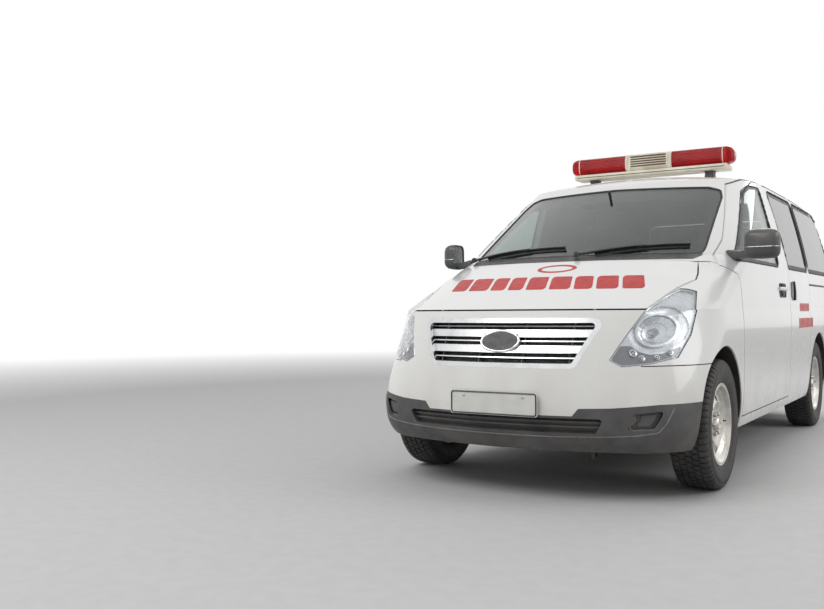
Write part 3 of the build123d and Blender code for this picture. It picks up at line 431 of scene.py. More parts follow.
# Rounded rectangle, the same count of points for each size. A higher power has tighter corners.
def roundRing(halfWide, halfTall, power=4.4, steps=72):
    return [(abs(c) ** (2 / power) * math.copysign(halfWide, c),
             abs(s) ** (2 / power) * math.copysign(halfTall, s)) for c, s in roundTurn(steps)]


# Skin through rings of equally many points. The last ring joins the first where loop is set.
def ringsMesh(name, rings, loop=False):
    count = len(rings[0])
    points = [point for ring in rings for point in ring]
    faces = []
    for r in range(len(rings) if loop else len(rings) - 1):
        base, above = r * count, (r + 1) % len(rings) * count
        for i in range(count):
            j = (i + 1) % count
            faces.append((base + i, base + j, above + j, above + i))
    if not loop:
        faces.append(tuple(reversed(range(count))))
        faces.append(tuple(range(len(points) - count, len(points))))
    return tidyNormals(meshOf(name, points, faces))


# Turns (along X, radius) points about an axle through the centre.
def latheX(name, profile, segments=72, centre=(0, 0, 0)):
    x, y, z = centre
    rings = [[Vector((x + along, y + radius * c, z + radius * s)) for along, radius in profile]
             for c, s in roundTurn(segments)]
    return ringsMesh(name, rings, loop=True)


# Carries a section, in side and up offsets, along a path. A list of sections gives each point its own.
def sweepMesh(name, path, section, upright=(0, 0, 1)):
    points = [Vector(point) for point in path]
    rings = []
    for i, point in enumerate(points):
        along = (points[min(i + 1, len(points) - 1)] - points[max(i - 1, 0)]).normalized()
        side = along.cross(Vector(upright)).normalized()
        up = side.cross(along).normalized()
        shape = section[i] if isinstance(section[0], list) else section
        rings.append([point + side * a + up * b for a, b in shape])
    return ringsMesh(name, rings)


# Rounded rectangle as side and up offsets. Corner is a share of the smaller half.
def roundSection(width, height, corner=0.3, steps=3):
    radius = corner * min(width, height) / 2
    shape = []
    for quarter, (sx, sy) in enumerate(((1, 1), (-1, 1), (-1, -1), (1, -1))):
        for step in range(steps + 1):
            angle = math.pi / 2 * (quarter + step / steps)
            shape.append((sx * (width / 2 - radius) + radius * math.cos(angle),
                          sy * (height / 2 - radius) + radius * math.sin(angle)))
    return shape


# Box between two corners with rounded edges.
def boxMesh(name, low, high, bevel=0.004, segments=2):
    work = bmesh.new()
    bmesh.ops.create_cube(work, size=1)
    low, high = Vector(low), Vector(high)
    for vertex in work.verts:
        vertex.co = Vector([low[i] if vertex.co[i] < 0 else high[i] for i in range(3)])
    bmesh.ops.bevel(work, geom=work.edges[:], offset=bevel, segments=segments, affect="EDGES", profile=0.5)
    mesh = bpy.data.meshes.new(name)
    work.to_mesh(mesh)
    work.free()
    return mesh


# Puts a mesh in the scene and lets it ride on its body.
def finishPiece(name, mesh, material, body="van", slotName="trim", replaced=(), sharpAngle=35.0, bevel=0.0):
    piece = linkMesh(name, mesh, material, sharpAngle)
    if bevel:
        edge = piece.modifiers.new("softEdges", "BEVEL")
        edge.width = bevel
        edge.segments = 2
        edge.limit_method = "ANGLE"
        edge.angle_limit = math.radians(40)
    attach(piece, body)
    if replaced:
        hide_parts(*replaced)
    return piece


# Geometry Nodes


# Geometry tree with named inputs. Columns: name, kind of socket, value.
def newTree(name, sockets):
    tree = bpy.data.node_groups.new(name, "GeometryNodeTree")
    tree.interface.new_socket(name="Geometry", in_out="OUTPUT", socket_type="NodeSocketGeometry")
    tree.interface.new_socket(name="Geometry", in_out="INPUT", socket_type="NodeSocketGeometry")
    for title, kind, value in sockets:
        socket = tree.interface.new_socket(name=title, in_out="INPUT", socket_type="NodeSocket" + kind)
        if value is not None:
            socket.default_value = value
    start = tree.nodes.new("NodeGroupInput")
    end = tree.nodes.new("NodeGroupOutput")
    return tree, start.outputs, end.inputs


# Sets a modifier's inputs by the sockets' identifiers.
def setInputs(modifier, tree, values):
    for item in tree.interface.items_tree:
        if item.in_out == "INPUT" and item.name in values:
            modifier[item.identifier] = values[item.name]


# Real geometry with its material, which the finished mesh keeps.
def endTree(tree, geometry, given, output):
    real = addNode(tree, "GeometryNodeRealizeInstances", {0: geometry.outputs[0]})
    painted = addNode(tree, "GeometryNodeSetMaterial",
                      {"Geometry": real.outputs[0], "Material": given["Material"]})
    tree.links.new(painted.outputs[0], output["Geometry"])
    return tree


# Copies of the mesh around an axle along X.
def makeRingTree():
    sockets = [("Count", "Int", 8), ("Radius", "Float", 0.1), ("Phase", "Float", 0.0),
               ("Material", "Material", None)]
    tree, given, output = newTree("ringOfCopies", sockets)
    points = addNode(tree, "GeometryNodePoints", {"Count": given["Count"]})
    index = addNode(tree, "GeometryNodeInputIndex").outputs[0]
    turn = math2(tree, "DIVIDE", index, given["Count"])
    angle = addNode(tree, "ShaderNodeMath", {0: turn, 1: 2 * math.pi, 2: given["Phase"]},
                    operation="MULTIPLY_ADD").outputs[0]
    across, up = (math2(tree, "MULTIPLY", math2(tree, wave, angle), given["Radius"])
                  for wave in ("COSINE", "SINE"))
    offset = addNode(tree, "ShaderNodeCombineXYZ", {1: across, 2: up})
    spread = addNode(tree, "GeometryNodeSetPosition",
                     {"Geometry": points.outputs[0], "Position": offset.outputs[0]})
    rotation = addNode(tree, "ShaderNodeCombineXYZ", {0: angle})
    copies = addNode(tree, "GeometryNodeInstanceOnPoints",
                     {"Points": spread.outputs[0], "Instance": given["Geometry"],
                      "Rotation": rotation.outputs[0]})
    return endTree(tree, copies, given, output)


# Round cord or bead along a line of edges, such as a seal or a weld.
def makePathTree():
    sockets = [("Radius", "Float", 0.003), ("Sides", "Int", 8), ("Spacing", "Float", 0.02),
               ("Material", "Material", None)]
    tree, given, output = newTree("beadAlongPath", sockets)
    line = addNode(tree, "GeometryNodeMeshToCurve", {0: given["Geometry"]})
    even = addNode(tree, "GeometryNodeResampleCurve", {"Curve": line.outputs[0], "Length": given["Spacing"]},
                   mode="LENGTH")
    profile = addNode(tree, "GeometryNodeCurvePrimitiveCircle",
                      {"Resolution": given["Sides"], "Radius": given["Radius"]})
    solid = addNode(tree, "GeometryNodeCurveToMesh",
                    {"Curve": even.outputs[0], "Profile Curve": profile.outputs[0], "Fill Caps": True})
    return endTree(tree, solid, given, output)


ringTree = makeRingTree()
pathTree = makePathTree()


# Runs a geometry tree on a mesh and returns the result as a plain mesh.
def grown(name, source, tree, material, **values):
    seed = bpy.data.objects.new(name + "Seed", source)
    bpy.context.scene.collection.objects.link(seed)
    modifier = seed.modifiers.new(tree.name, "NODES")
    modifier.node_group = tree
    setInputs(modifier, tree, {**values, "Material": material})
    bpy.context.view_layer.update()
    depsgraph = bpy.context.evaluated_depsgraph_get()
    mesh = bpy.data.meshes.new_from_object(seed.evaluated_get(depsgraph))
    bpy.data.objects.remove(seed)
    mesh.name = name
    return mesh


# Bead along a list of points.
def bead(name, path, radius, material, closed=False, sides=8, spacing=0.02):
    count = len(path)
    mesh = bpy.data.meshes.new(name)
    edges = [(i, (i + 1) % count) for i in range(count if closed else count - 1)]
    mesh.from_pydata([tuple(point) for point in path], edges, [])
    return grown(name, mesh, pathTree, material, Radius=radius, Sides=sides, Spacing=spacing)


# Skins of the van that pieces follow

panelNames = ["body_shell", "hood", "front_bumper", "front_bumper_lower", "fenders", "headlamps",
              "windshield", "front_door_left", "front_door_right", "sliding_doors", "tailgate", "tail_lamps",
              "rear_bumper"]
paneNames = ["front_window_left", "front_window_right", "side_windows", "tailgate_window"]


def skinOf(*names):
    points, faces = [], []
    for name in names:
        mesh = nodes[name].data
        start = len(points)
        points += [vertex.co.copy() for vertex in mesh.vertices]
        faces += [[start + index for index in polygon.vertices] for polygon in mesh.polygons]
    return BVHTree.FromPolygons(points, faces)


panelSkin = skinOf(*panelNames)
wholeSkin = skinOf(*panelNames, *paneNames)
screenSkin = skinOf("windshield")


casting = {
    "spread": 0.006,
    "widest": 0.2,
    "gapDepth": 0.012,
    "leastSlope": 0.05,
    "outside": 4,
}


# Point on a skin and its outward normal. Over a panel gap it lies on the middle of the planes beside it.
def castOn(skin, origin, direction, spread=casting["spread"]):
    origin, direction = Vector(origin), Vector(direction)
    point, normal, _, reach = skin.ray_cast(origin, direction)
    across = direction.orthogonal().normalized()
    beyond = direction.cross(across)
    beside = [skin.ray_cast(origin + (across * a + beyond * b) * spread, direction)
              for a, b in ((1, 0), (-1, 0), (0, 1), (0, -1))]
    beside = [hit for hit in beside if hit[0]]
    if point is None and not beside and spread < casting["widest"]:
        return castOn(skin, origin, direction, spread * 2.5)
    if beside:
        planes = []
        for spot, facing, _, _ in beside:
            slope = facing.dot(direction)
            level = (spot - origin).dot(facing) / slope if abs(slope) > casting["leastSlope"] else 1e6
            planes.append((level, facing))
        level, facing = sorted(planes, key=lambda plane: plane[0])[len(planes) // 2]
        if point is None or level < reach - casting["gapDepth"]:
            point, normal = origin + direction * level, facing
    if normal.dot(direction) > 0:
        normal = -normal
    return point, normal


def onFront(x, z, skin=None):
    return castOn(skin or panelSkin, (x, -casting["outside"], z), (0, 1, 0))


def onRear(x, z, skin=None):
    return castOn(skin or panelSkin, (x, casting["outside"], z), (0, -1, 0))


def onTop(x, y):
    return castOn(panelSkin, (x, y, casting["outside"]), (0, 0, -1))


# Places on the flank of one side, from y and z
def onSide(side, skin=None):
    return lambda y, z: castOn(skin or panelSkin, (side * 3, y, z), (-side, 0, 0))


def lifted(place, u, v, lift):
    point, normal = place(u, v)
    return point + normal * lift


# Surface that runs straight from one height to another, past what is set into it
def spanned(place, low, high):
    def across(u, v):
        start, end = place(u, low), place(u, high)
        return start[0].lerp(end[0], (v - low) / (high - low)), (start[1] + end[1]).normalized()
    return across


# Closed outline with round corners
def cornered(points, radius, steps=5):
    loop = []
    for i, point in enumerate(points):
        here = Vector(point)
        before = Vector(points[i - 1]) - here
        after = Vector(points[(i + 1) % len(points)]) - here
        turn = before.angle(after)
        if turn > math.radians(172):
            loop.append(here)
            continue
        reach = min(radius / math.tan(turn / 2), before.length * 0.48, after.length * 0.48)
        bend = reach * math.tan(turn / 2)
        start, end = here + before.normalized() * reach, here + after.normalized() * reach
        centre = here + (before.normalized() + after.normalized()).normalized() * (bend / math.sin(turn / 2))
        for step in range(steps + 1):
            loop.append(centre + (start.lerp(end, step / steps) - centre).normalized() * bend)
    return loop


# The same outline with points at even distances
def evenly(loop, spacing):
    lengths = [(loop[(i + 1) % len(loop)] - point).length for i, point in enumerate(loop)]
    count = max(6, round(sum(lengths) / spacing))
    step = sum(lengths) / count
    result, passed, i = [], 0.0, 0
    for n in range(count):
        while n * step > passed + lengths[i]:
            passed += lengths[i]
            i += 1
        share = (n * step - passed) / max(lengths[i], 1e-9)
        result.append(loop[i].lerp(loop[(i + 1) % len(loop)], share))
    return result


# Outline with round corners and even spacing
def softLoop(points, radius, spacing):
    return evenly(cornered(points, radius), spacing)


def boxLoop(lowU, lowV, highU, highV):
    return [(lowU, lowV), (highU, lowV), (highU, highV), (lowU, highV)]


# Outline moved inwards, or outwards where the amount is negative
def inset(loop, amount):
    count = len(loop)
    area = sum(a.x * b.y - b.x * a.y for a, b in zip(loop, loop[1:] + loop[:1])) / 2
    sign = 1 if area > 0 else -1
    result = []
    for i, point in enumerate(loop):
        tangent = (loop[(i + 1) % count] - loop[i - 1]).normalized()
        result.append(point + Vector((-tangent.y, tangent.x)) * amount * sign)
    return result


def bothHalves(half):
    return half + [(-x, z) for x, z in reversed(half) if x > 0]


def ovalLoop(centre, width, height, count=40):
    u, v = centre
    return [Vector((u + width / 2 * c, v + height / 2 * s)) for c, s in roundTurn(count)]


def insideLoop(loop, spot):
    crossings = 0
    for a, b in zip(loop, loop[1:] + loop[:1]):
        if (a.y > spot.y) != (b.y > spot.y) and spot.x < a.x + (spot.y - a.y) / (b.y - a.y) * (b.x - a.x):
            crossings += 1
    return crossings % 2 == 1


# Closed sheet that follows a surface inside the first outline, with the further outlines as holes.
# Deeper, where given, is the extra depth at a place in the outline's own plane.
def patchMesh(name, loops, place, lift=0.0, thick=0.002, spacing=0.03, deeper=None, spots=()):
    points, edges = [], []
    for loop in loops:
        start = len(points)
        points += list(loop)
        edges += [(start + i, start + (i + 1) % len(loop)) for i in range(len(loop))]
    lowX, highX = min(p.x for p in loops[0]), max(p.x for p in loops[0])
    lowY, highY = min(p.y for p in loops[0]), max(p.y for p in loops[0])
    columns, rows = int((highX - lowX) / spacing), int((highY - lowY) / spacing)
    points += spots
    near = KDTree(len(points))
    for i, spot in enumerate(points):
        near.insert(spot.to_3d(), i)
    near.balance()
    for i in range(columns + 1):
        for j in range(rows + 1):
            spot = Vector((lowX + (i + 0.5) * spacing, lowY + (j + 0.5) * spacing))
            if near.find(spot.to_3d())[2] > spacing * 0.45:
                points.append(spot)
    flat, _, triangles, *_ = delaunay_2d_cdt(points, edges, [], 1, 1e-7)
    centres = [(flat[a] + flat[b] + flat[c]) / 3 for a, b, c in triangles]
    triangles = [face for face, centre in zip(triangles, centres)
                 if insideLoop(loops[0], centre) and not any(insideLoop(hole, centre) for hole in loops[1:])]
    used = sorted({index for face in triangles for index in face})
    order = {index: i for i, index in enumerate(used)}
    triangles = [[order[index] for index in face] for face in triangles]
    top, bottom = [], []
    for spot in (flat[index] for index in used):
        point, normal = place(spot.x, spot.y)
        sunk = deeper(spot.x, spot.y) if deeper else 0.0
        top.append(point + normal * (lift - sunk))
        bottom.append(point + normal * (lift - sunk - thick))
    count = len(used)
    faces = [tuple(face) for face in triangles]
    faces += [tuple(count + i for i in reversed(face)) for face in triangles]
    seen = {}
    for face in triangles:
        for a, b in zip(face, face[1:] + face[:1]):
            seen[(a, b)] = True
    faces += [(b, a, count + a, count + b) for a, b in seen if (b, a) not in seen]
    return tidyNormals(meshOf(name, top + bottom, faces), 1e-6)


# Follows an outline on a surface with a bead
def beadOn(name, loop, place, radius, material, lift=0.0, closed=True, sides=8, spacing=0.02):
    path = [lifted(place, spot.x, spot.y, lift) for spot in loop]
    return bead(name, path, radius, material, closed, sides, spacing)


print("skins ready")

bothSides = ((1, "left"), (-1, "right"))

# Finishes of the pieces that keep their own shape

keptFinishes = [
    (whitePaint, ["body_shell", "hood", "fenders", "front_door_left", "front_door_right", "sliding_doors",
                  "tailgate"]),
    (shadedBumperPaint, ["front_bumper", "rear_bumper"]),
    (darkTrim, ["front_bumper_lower"]),
    (satinSilver, ["grille"]),
    (wheelSilver, ["rim_front_left", "rim_front_right", "rim_rear_left", "rim_rear_right"]),
    (screenPane, ["windshield"]),
    (clearPane, ["front_window_left", "front_window_right"]),
    (tintedPane, ["side_windows", "tailgate_window"]),
    (underseal, ["floor_pan"]),
    (frameSteel, ["chassis_frame", "front_suspension", "drive_shaft"]),
    (castIron, ["engine", "rear_axle", "knuckle_left", "knuckle_right"]),
    (dullSteel, ["exhaust"]),
    (blackTrim, ["fuel_tank"]),
    (flapRubber, ["mud_flaps"]),
    (plateWhite, ["front_plate", "rear_plate"]),
    (cabinPlastic, ["dashboard", "steering_wheel"]),
    (redLens, ["tail_lamps"]),
    (blackTrim, ["wipers", "mirror_left", "mirror_right"]),
    (clearLens, ["headlamps"]),
    (creamPlastic, ["light_bar_base"]),
    (redTube, ["light_bar_lenses"]),
]
for finish, names in keptFinishes:
    for name in names:
        nodes[name].data.materials.clear()
        nodes[name].data.materials.append(finish)

# Wheels

wheel = {
    "blocks": 62,
    "blockHalfLong": 0.0138,
    "blockChamfer": 0.0013,
    "blockSlant": 0.16,
    "sideRibs": 96,
    "sideRib": ((0.1005, 0.3075, -0.0011), (0.1056, 0.3155, 0.0011)),
    "nutCount": 6,
    "nutCircle": 0.0585,
    "hubFace": 0.055,
    # Turned profiles: along the axle, radius. Nut and cap are counted from the face of the hub.
    "nut": [(-0.001, 0.0125), (0.004, 0.0125), (0.0045, 0.0108), (0.0155, 0.0108), (0.0185, 0.0075)],
    "cap": [(0, 0), (0, 0.036), (0.012, 0.0355), (0.02, 0.031), (0.024, 0.024), (0.0225, 0.022),
            (0.0235, 0.012), (0.024, 0)],
    "valve": [(0.03, 0), (0.03, 0.0055), (0.062, 0.005), (0.062, 0.0036), (0.074, 0.0036), (0.075, 0)],
    "valveRadius": 0.168,
    "lip": [(0.0885, 0.2135), (0.0905, 0.2165), (0.0915, 0.2205), (0.09, 0.2228), (0.087, 0.222),
            (0.086, 0.2165)],
}


# Block of tread: a section of (along the axle, radius) points carried along the tread, with chamfered ends
def blockMesh(name, section, slant):
    middle = Vector((sum(a for a, b in section), sum(b for a, b in section))) / len(section)
    half, cut = wheel["blockHalfLong"], wheel["blockChamfer"]
    rings = []
    for z, small in ((-half, 1), (-half + cut, 0), (half - cut, 0), (half, 1)):
        ring = []
        for a, b in section:
            spot = Vector((a, b))
            spot -= (spot - middle).normalized() * cut * small
            ring.append((spot.x, spot.y, z + (spot.x - middle.x) * slant))
        rings.append(ring)
    return ringsMesh(name, rings)


# Half of the carcass from the inner bead to the middle of the tread, as (along the axle, radius)
carcassHalf = [(-0.076, 0.2178), (-0.0865, 0.222), (-0.0935, 0.232), (-0.0985, 0.246), (-0.1, 0.2465),
               (-0.1005, 0.25), (-0.099, 0.2508), (-0.1035, 0.268), (-0.1062, 0.288), (-0.1068, 0.299),
               (-0.1075, 0.2995), (-0.1075, 0.3035), (-0.106, 0.304), (-0.1035, 0.316), (-0.1005, 0.324),
               (-0.0965, 0.331), (-0.091, 0.3395), (-0.083, 0.3435), (-0.06, 0.3448), (-0.03, 0.3452)]
treadRows = [  # Columns: section, share of a step that the row is turned by, slant sign
    ([(-0.014, 0.343), (0.014, 0.343), (0.0135, 0.353), (-0.0135, 0.353)], 0.5, 1),
    ([(0.0205, 0.343), (0.049, 0.343), (0.0485, 0.3527), (0.021, 0.353)], 0.0, 1),
    ([(-0.049, 0.343), (-0.0205, 0.343), (-0.021, 0.353), (-0.0485, 0.3527)], 0.0, -1),
    ([(0.0565, 0.343), (0.088, 0.336), (0.1018, 0.3215), (0.1025, 0.3275), (0.0965, 0.3395), (0.088, 0.3472),
      (0.074, 0.3512), (0.057, 0.3523)], 0.5, 0),
    ([(-0.0565, 0.343), (-0.057, 0.3523), (-0.074, 0.3512), (-0.088, 0.3472), (-0.0965, 0.3395),
      (-0.1025, 0.3275), (-0.1018, 0.3215), (-0.088, 0.336)], 0.5, 0),
]


def makeWheels():
    profile = carcassHalf + [(-along, radius) for along, radius in reversed(carcassHalf)]
    parts = [latheX("carcass", profile, 96)]
    step = 2 * math.pi / wheel["blocks"]
    for section, turned, sign in treadRows:
        block = blockMesh("block", section, sign * wheel["blockSlant"])
        parts.append(grown("treadRow", block, ringTree, treadRubber, Count=wheel["blocks"], Radius=0.0,
                           Phase=turned * step))
    rib = boxMesh("sideRib", *wheel["sideRib"], 0.0005, 1)
    for side in (1, -1):
        parts.append(grown("sideRibs", moved(rib.copy(), flipX(side)), ringTree, treadRubber,
                           Count=wheel["sideRibs"], Radius=0.0))
    tyre = joined("tyre", parts)
    face = wheel["hubFace"]
    nut = ringsMesh("nut", [[(face + along, size * c, size * s) for c, s in roundTurn(6)]
                            for along, size in wheel["nut"]])
    nuts = grown("nuts", nut, ringTree, nutSteel, Count=wheel["nutCount"], Radius=wheel["nutCircle"])
    cap = latheX("cap", [(face + along, radius) for along, radius in wheel["cap"]], 40)
    cap = joined("cap", [cap, latheX("lip", wheel["lip"], 96)])
    valve = latheX("valve", wheel["valve"], 12, (0, wheel["valveRadius"], 0))
    for name in ("front_left", "front_right", "rear_left", "rear_right"):
        low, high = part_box("tyre_" + name)
        centre = (Vector(low) + Vector(high)) / 2
        place = Matrix.Translation(centre) @ flipX(centre.x)
        body = "wheel_" + name
        finishPiece("tread_" + name, moved(tyre.copy(), place), treadRubber, body, "tyre", ["tyre_" + name],
                    sharpAngle=40)
        finishPiece("nuts_" + name, moved(nuts.copy(), place), nutSteel, body, "wheel_paint")
        finishPiece("cap_" + name, moved(cap.copy(), place), wheelSilver, body, "wheel_paint")
        finishPiece("valve_" + name, moved(valve.copy(), place), blackTrim, body)


makeWheels()
print("wheels made")

# Headlamps

lamp = {
    "outline": [(0.767, 1.089), (0.8, 1.085), (0.84, 1.073), (0.884, 0.969), (0.874, 0.845),
                (0.842, 0.734), (0.74, 0.704), (0.626, 0.692), (0.567, 0.723), (0.631, 0.859),
                (0.698, 0.991), (0.722, 1.036)],
    "round": 0.012,
    "bowlCentre": (0.752, 0.884),
    "outerRing": 0.116,
    "innerRing": 0.08,
    "bulbRing": 0.05,
    # Edges of the steps at each ring, as distances from it
    "creases": {"outerRing": (0.0006, -0.0006), "innerRing": (0.0066, 0.0054, -0.0054, -0.0066),
                "bulbRing": (0.0036, 0.0024, -0.0024, -0.0036)},
    "shelf": 0.016,
    "bowlDepth": 0.062,
    "bowlRise": 0.028,
    "flutes": 18,
    "fluteDepth": 0.0009,
    "blur": 0.055,
    "wallDepths": (0.003, 0.022),
    "lowerZone": [(0.842, 0.742), (0.74, 0.712), (0.628, 0.7), (0.578, 0.725), (0.612, 0.8), (0.655, 0.8),
                  (0.69, 0.772), (0.735, 0.757), (0.785, 0.76), (0.828, 0.786), (0.85, 0.8)],
    "dishes": [(0.668, 0.763, 0.021), (0.706, 0.737, 0.017), (0.766, 0.74, 0.014), (0.812, 0.764, 0.017)],
    "bulb": [(-0.015, 0), (-0.015, 0.02), (0.002, 0.021), (0.006, 0.017), (0.012, 0.0145), (0.019, 0.0085),
             (0.022, 0)],
    "bulbDepth": 0.045,
    "lowerDepth": 0.0125,
    "dishDepth": 0.012,
    "lineInset": 0.0062,
    "lineDepth": 0.0055,
    "lineRadius": 0.0019,
}


# How deep the reflector lies behind the cover: a step at the outer ring, a ridge at the inner one and a
# fluted bowl
def lampDepth(x, z):
    centreX, centreZ = lamp["bowlCentre"]
    reach = math.hypot(x - centreX, z - centreZ)
    turn = math.atan2(z - centreZ, x - centreX)
    outer, inner, bulb = lamp["outerRing"], lamp["innerRing"], lamp["bulbRing"]
    depth = lamp["shelf"]
    if reach < outer:
        depth += 0.01 + 0.01 * (outer - reach) / (outer - inner)
    if abs(reach - inner) < 0.006:
        depth = lamp["shelf"] + 0.006
    if reach < inner - 0.006:
        depth = lamp["bowlDepth"] - lamp["bowlRise"] * (reach / inner) ** 2
        depth += lamp["fluteDepth"] * math.cos(lamp["flutes"] * turn) * (reach > bulb)
    if abs(reach - bulb) < 0.003:
        depth -= 0.004
    return depth


def makeHeadlamps():
    loop = softLoop(lamp["outline"], lamp["round"], 0.008)
    edge = inset(loop, 0.0016)
    mean = sum((onFront(*spot)[1] for spot in edge), Vector()).normalized()

    # The fold of the nose fades out towards the middle of the lamp
    def smooth(x, z):
        border = min((Vector((x, z)) - spot).length for spot in loop)
        blur = min(lamp["blur"], border * 0.7)
        if blur < 0.004:
            return onFront(x, z)
        hits = [onFront(x + blur * share * c, z + blur * share * s)
                for c, s in roundTurn(12) for share in (0.5, 1)]
        return (sum((point for point, normal in hits), Vector()) / len(hits),
                sum((normal for point, normal in hits), Vector()).normalized())

    def straight(x, z):
        return smooth(x, z)[0], mean

    def sunk(spot, depth):
        return onFront(*spot)[0] - mean * depth

    radii = [lamp[ring] + gap for ring, gaps in lamp["creases"].items() for gap in gaps]
    safe = inset(loop, 0.008)
    rings = [spot for radius in radii for spot in ovalLoop(lamp["bowlCentre"], 2 * radius, 2 * radius, 96)
             if insideLoop(safe, spot)]
    tray = patchMesh("tray", [inset(loop, 0.004)], straight, 0, 0.002, 0.0065, lampDepth, rings)
    count = len(edge)
    wall = meshOf("wall", [sunk(spot, depth) for depth in lamp["wallDepths"] for spot in edge],
                  [(i, (i + 1) % count, count + (i + 1) % count, count + i) for i in range(count)])
    cover = patchMesh("cover", [edge], smooth, -0.0003, 0.0028, 0.012)
    darkLoop = softLoop(lamp["lowerZone"], 0.01, 0.008)
    darkPart = patchMesh("lowerPart", [darkLoop], straight, -lamp["lowerDepth"], 0.002, 0.012)
    dishes = []
    for x, z, radius in lamp["dishes"]:
        profile = [(0.006, radius), (0.0045, radius - 0.003), (-0.002, radius * 0.6), (-0.004, 0.004),
                   (0.004, 0.0035), (0.006, 0), (-0.007, 0), (-0.003, radius * 0.8), (0.001, radius)]
        dishes.append(placed(latheX("dish", profile, 28), sunk((x, z), lamp["dishDepth"]), mean))
    bulb = placed(latheX("bulb", lamp["bulb"], 32), sunk(lamp["bowlCentre"], lamp["bulbDepth"]), mean)
    rim = [sunk(spot, lamp["lineDepth"]) for spot in inset(loop, lamp["lineInset"])]
    line = bead("lampLine", rim, lamp["lineRadius"], reflector, closed=True, sides=6, spacing=0.012)
    rows = [("cover", cover, clearLens), ("tray", tray, lampSilver), ("wall", wall, lampSilver),
            ("lowerPart", darkPart, lampDark), ("dishes", joined("dishes", dishes), reflector),
            ("bulb", bulb, bulbGlass), ("line", line, reflector)]
    for side, word in bothSides:
        for title, mesh, finish in rows:
            finishPiece("headlamp_" + title + "_" + word, moved(mesh.copy(), flipX(side)), finish, "van",
                        "lamp_lens", ["headlamps"] if title == "cover" else ())


makeHeadlamps()
print("headlamps made")

# Grille: dark field with ribs behind the bars, plain oval badge

grille = {
    "field": [(0, 0.93), (0.53, 0.93), (0.407, 0.688), (0, 0.688)],
    "fieldDepth": 0.058,
    "noseEnds": (0.672, 0.946),
    "ribs": (-0.37, -0.125, 0.125, 0.37),
    "ribEnds": (0.7, 0.922),
    "ribDepth": (0.03, 0.05),
    "ribHalf": 0.0016,
    "badgeHeight": 0.817,
    "badgeSize": (0.216, 0.104),
    "ringRadius": 0.0068,
}


def makeGrille():
    skin, whole = skinOf("front_bumper", "hood", "front_bumper_lower"), skinOf("grille")
    foot, top = grille["noseEnds"]

    # Plane that leans with the nose, from its lower to its upper end
    def behind(x, z):
        low, high = onFront(x, foot, skin)[0], onFront(x, top, skin)[0]
        return low.lerp(high, (z - foot) / (top - foot)), Vector((1, 0, 0)).cross(high - low).normalized()

    field = patchMesh("field", [softLoop(bothHalves(grille["field"]), 0.03, 0.02)], behind,
                      -grille["fieldDepth"], 0.004, 0.03)
    finishPiece("grille_field", field, blackTrim)
    ribs, half = [], Vector((grille["ribHalf"], 0, 0))
    low, high = grille["ribEnds"]
    for x in grille["ribs"]:
        rings = []
        for step in range(9):
            point, normal = behind(x, low + (high - low) * step / 8)
            near, far = (point - normal * depth for depth in grille["ribDepth"])
            rings.append([near + half, near - half, far - half, far + half])
        ribs.append(ringsMesh("rib", rings))
    finishPiece("grille_ribs", joined("ribs", ribs), trimSheen, bevel=0.0004)
    width, height = grille["badgeSize"]
    centre = (0, grille["badgeHeight"])

    def onBadge(x, z):
        return onFront(x, z, whole)

    ring = beadOn("badgeRing", ovalLoop(centre, width, height), onBadge, grille["ringRadius"], chrome, 0.001,
                  sides=14, spacing=0.006)
    finishPiece("badge_ring", ring, chrome, "van", "bright_trim")
    plain = ovalLoop(centre, width - 0.008, height - 0.008, 64)
    finishPiece("badge_field", patchMesh("badgeField", [plain], onBadge, 0.0022, 0.004, 0.012), badgeDark)


makeGrille()
print("grille made")

# Lower bumper, plates and front markings

bumper = {
    "intake": [(0, 0.438), (0.56, 0.438), (0.516, 0.363), (0, 0.363)],
    "intakeSpan": (0.352, 0.452),
    "intakeDepth": 0.036,
    "recess": [(0.683, 0.466), (0.819, 0.48), (0.802, 0.434), (0.774, 0.385), (0.654, 0.382), (0.699, 0.436)],
    "recessSpan": (0.64, 0.83),
    "bezelRadius": 0.0045,
    "blankDepth": 0.004,
    "lipRadius": 0.0042,
    "blank": [(0.712, 0.456), (0.79, 0.464), (0.776, 0.432), (0.755, 0.401), (0.688, 0.399), (0.722, 0.434)],
    # Path of the lip bead, whose lighter, glossier grey is a painted highlight along the edge of the moulded
    # lip
    "lip": [(0.0, 0.341), (0.3, 0.342), (0.55, 0.348), (0.7, 0.357), (0.79, 0.37), (0.822, 0.41),
            (0.84, 0.455), (0.85, 0.487)],
}


def makeBumper():
    around = skinOf("front_bumper", "front_bumper_lower")

    def onBumper(x, z):
        return onFront(x, z, around)

    field = patchMesh("intakeField", [softLoop(bothHalves(bumper["intake"]), 0.008, 0.03)],
                      spanned(onBumper, *bumper["intakeSpan"]), -bumper["intakeDepth"], 0.003, 0.04)
    finishPiece("intake_field", field, blackTrim)
    beads, blanks = [], []
    near, far = bumper["recessSpan"]
    for side in (1, -1):
        def onRecess(x, z, side=side):
            start, end = onBumper(side * near, z), onBumper(side * far, z)
            share = (x * side - near) / (far - near)
            return start[0].lerp(end[0], share), start[1].lerp(end[1], share).normalized()

        outer, inner, lip = ([(side * x, z) for x, z in bumper[key]] for key in ("recess", "blank", "lip"))
        rim = softLoop(outer, 0.014, 0.008)
        beads.append(beadOn("bezel", rim, onRecess, bumper["bezelRadius"], trimSheen, lift=0.0004, sides=10,
                            spacing=0.008))
        blanks.append(patchMesh("blank", [softLoop(inner, 0.012, 0.008)], onRecess, -bumper["blankDepth"],
                                thick=0.012, spacing=0.02))
        # Raised bead along the moulded lip, lighter and glossier than the trim around it: a painted highlight
        # on the lip's edge
        path = [Vector(a).lerp(Vector(b), step / 8) for a, b in zip(lip, lip[1:]) for step in range(8)]
        path.append(Vector(lip[-1]))
        beads.append(beadOn("lip", path, onFront, bumper["lipRadius"], trimSheen, closed=False, sides=10))
    finishPiece("bumper_beads", joined("beads", beads), trimSheen)
    finishPiece("fog_blanks", joined("blanks", blanks), darkTrim, bevel=0.002)


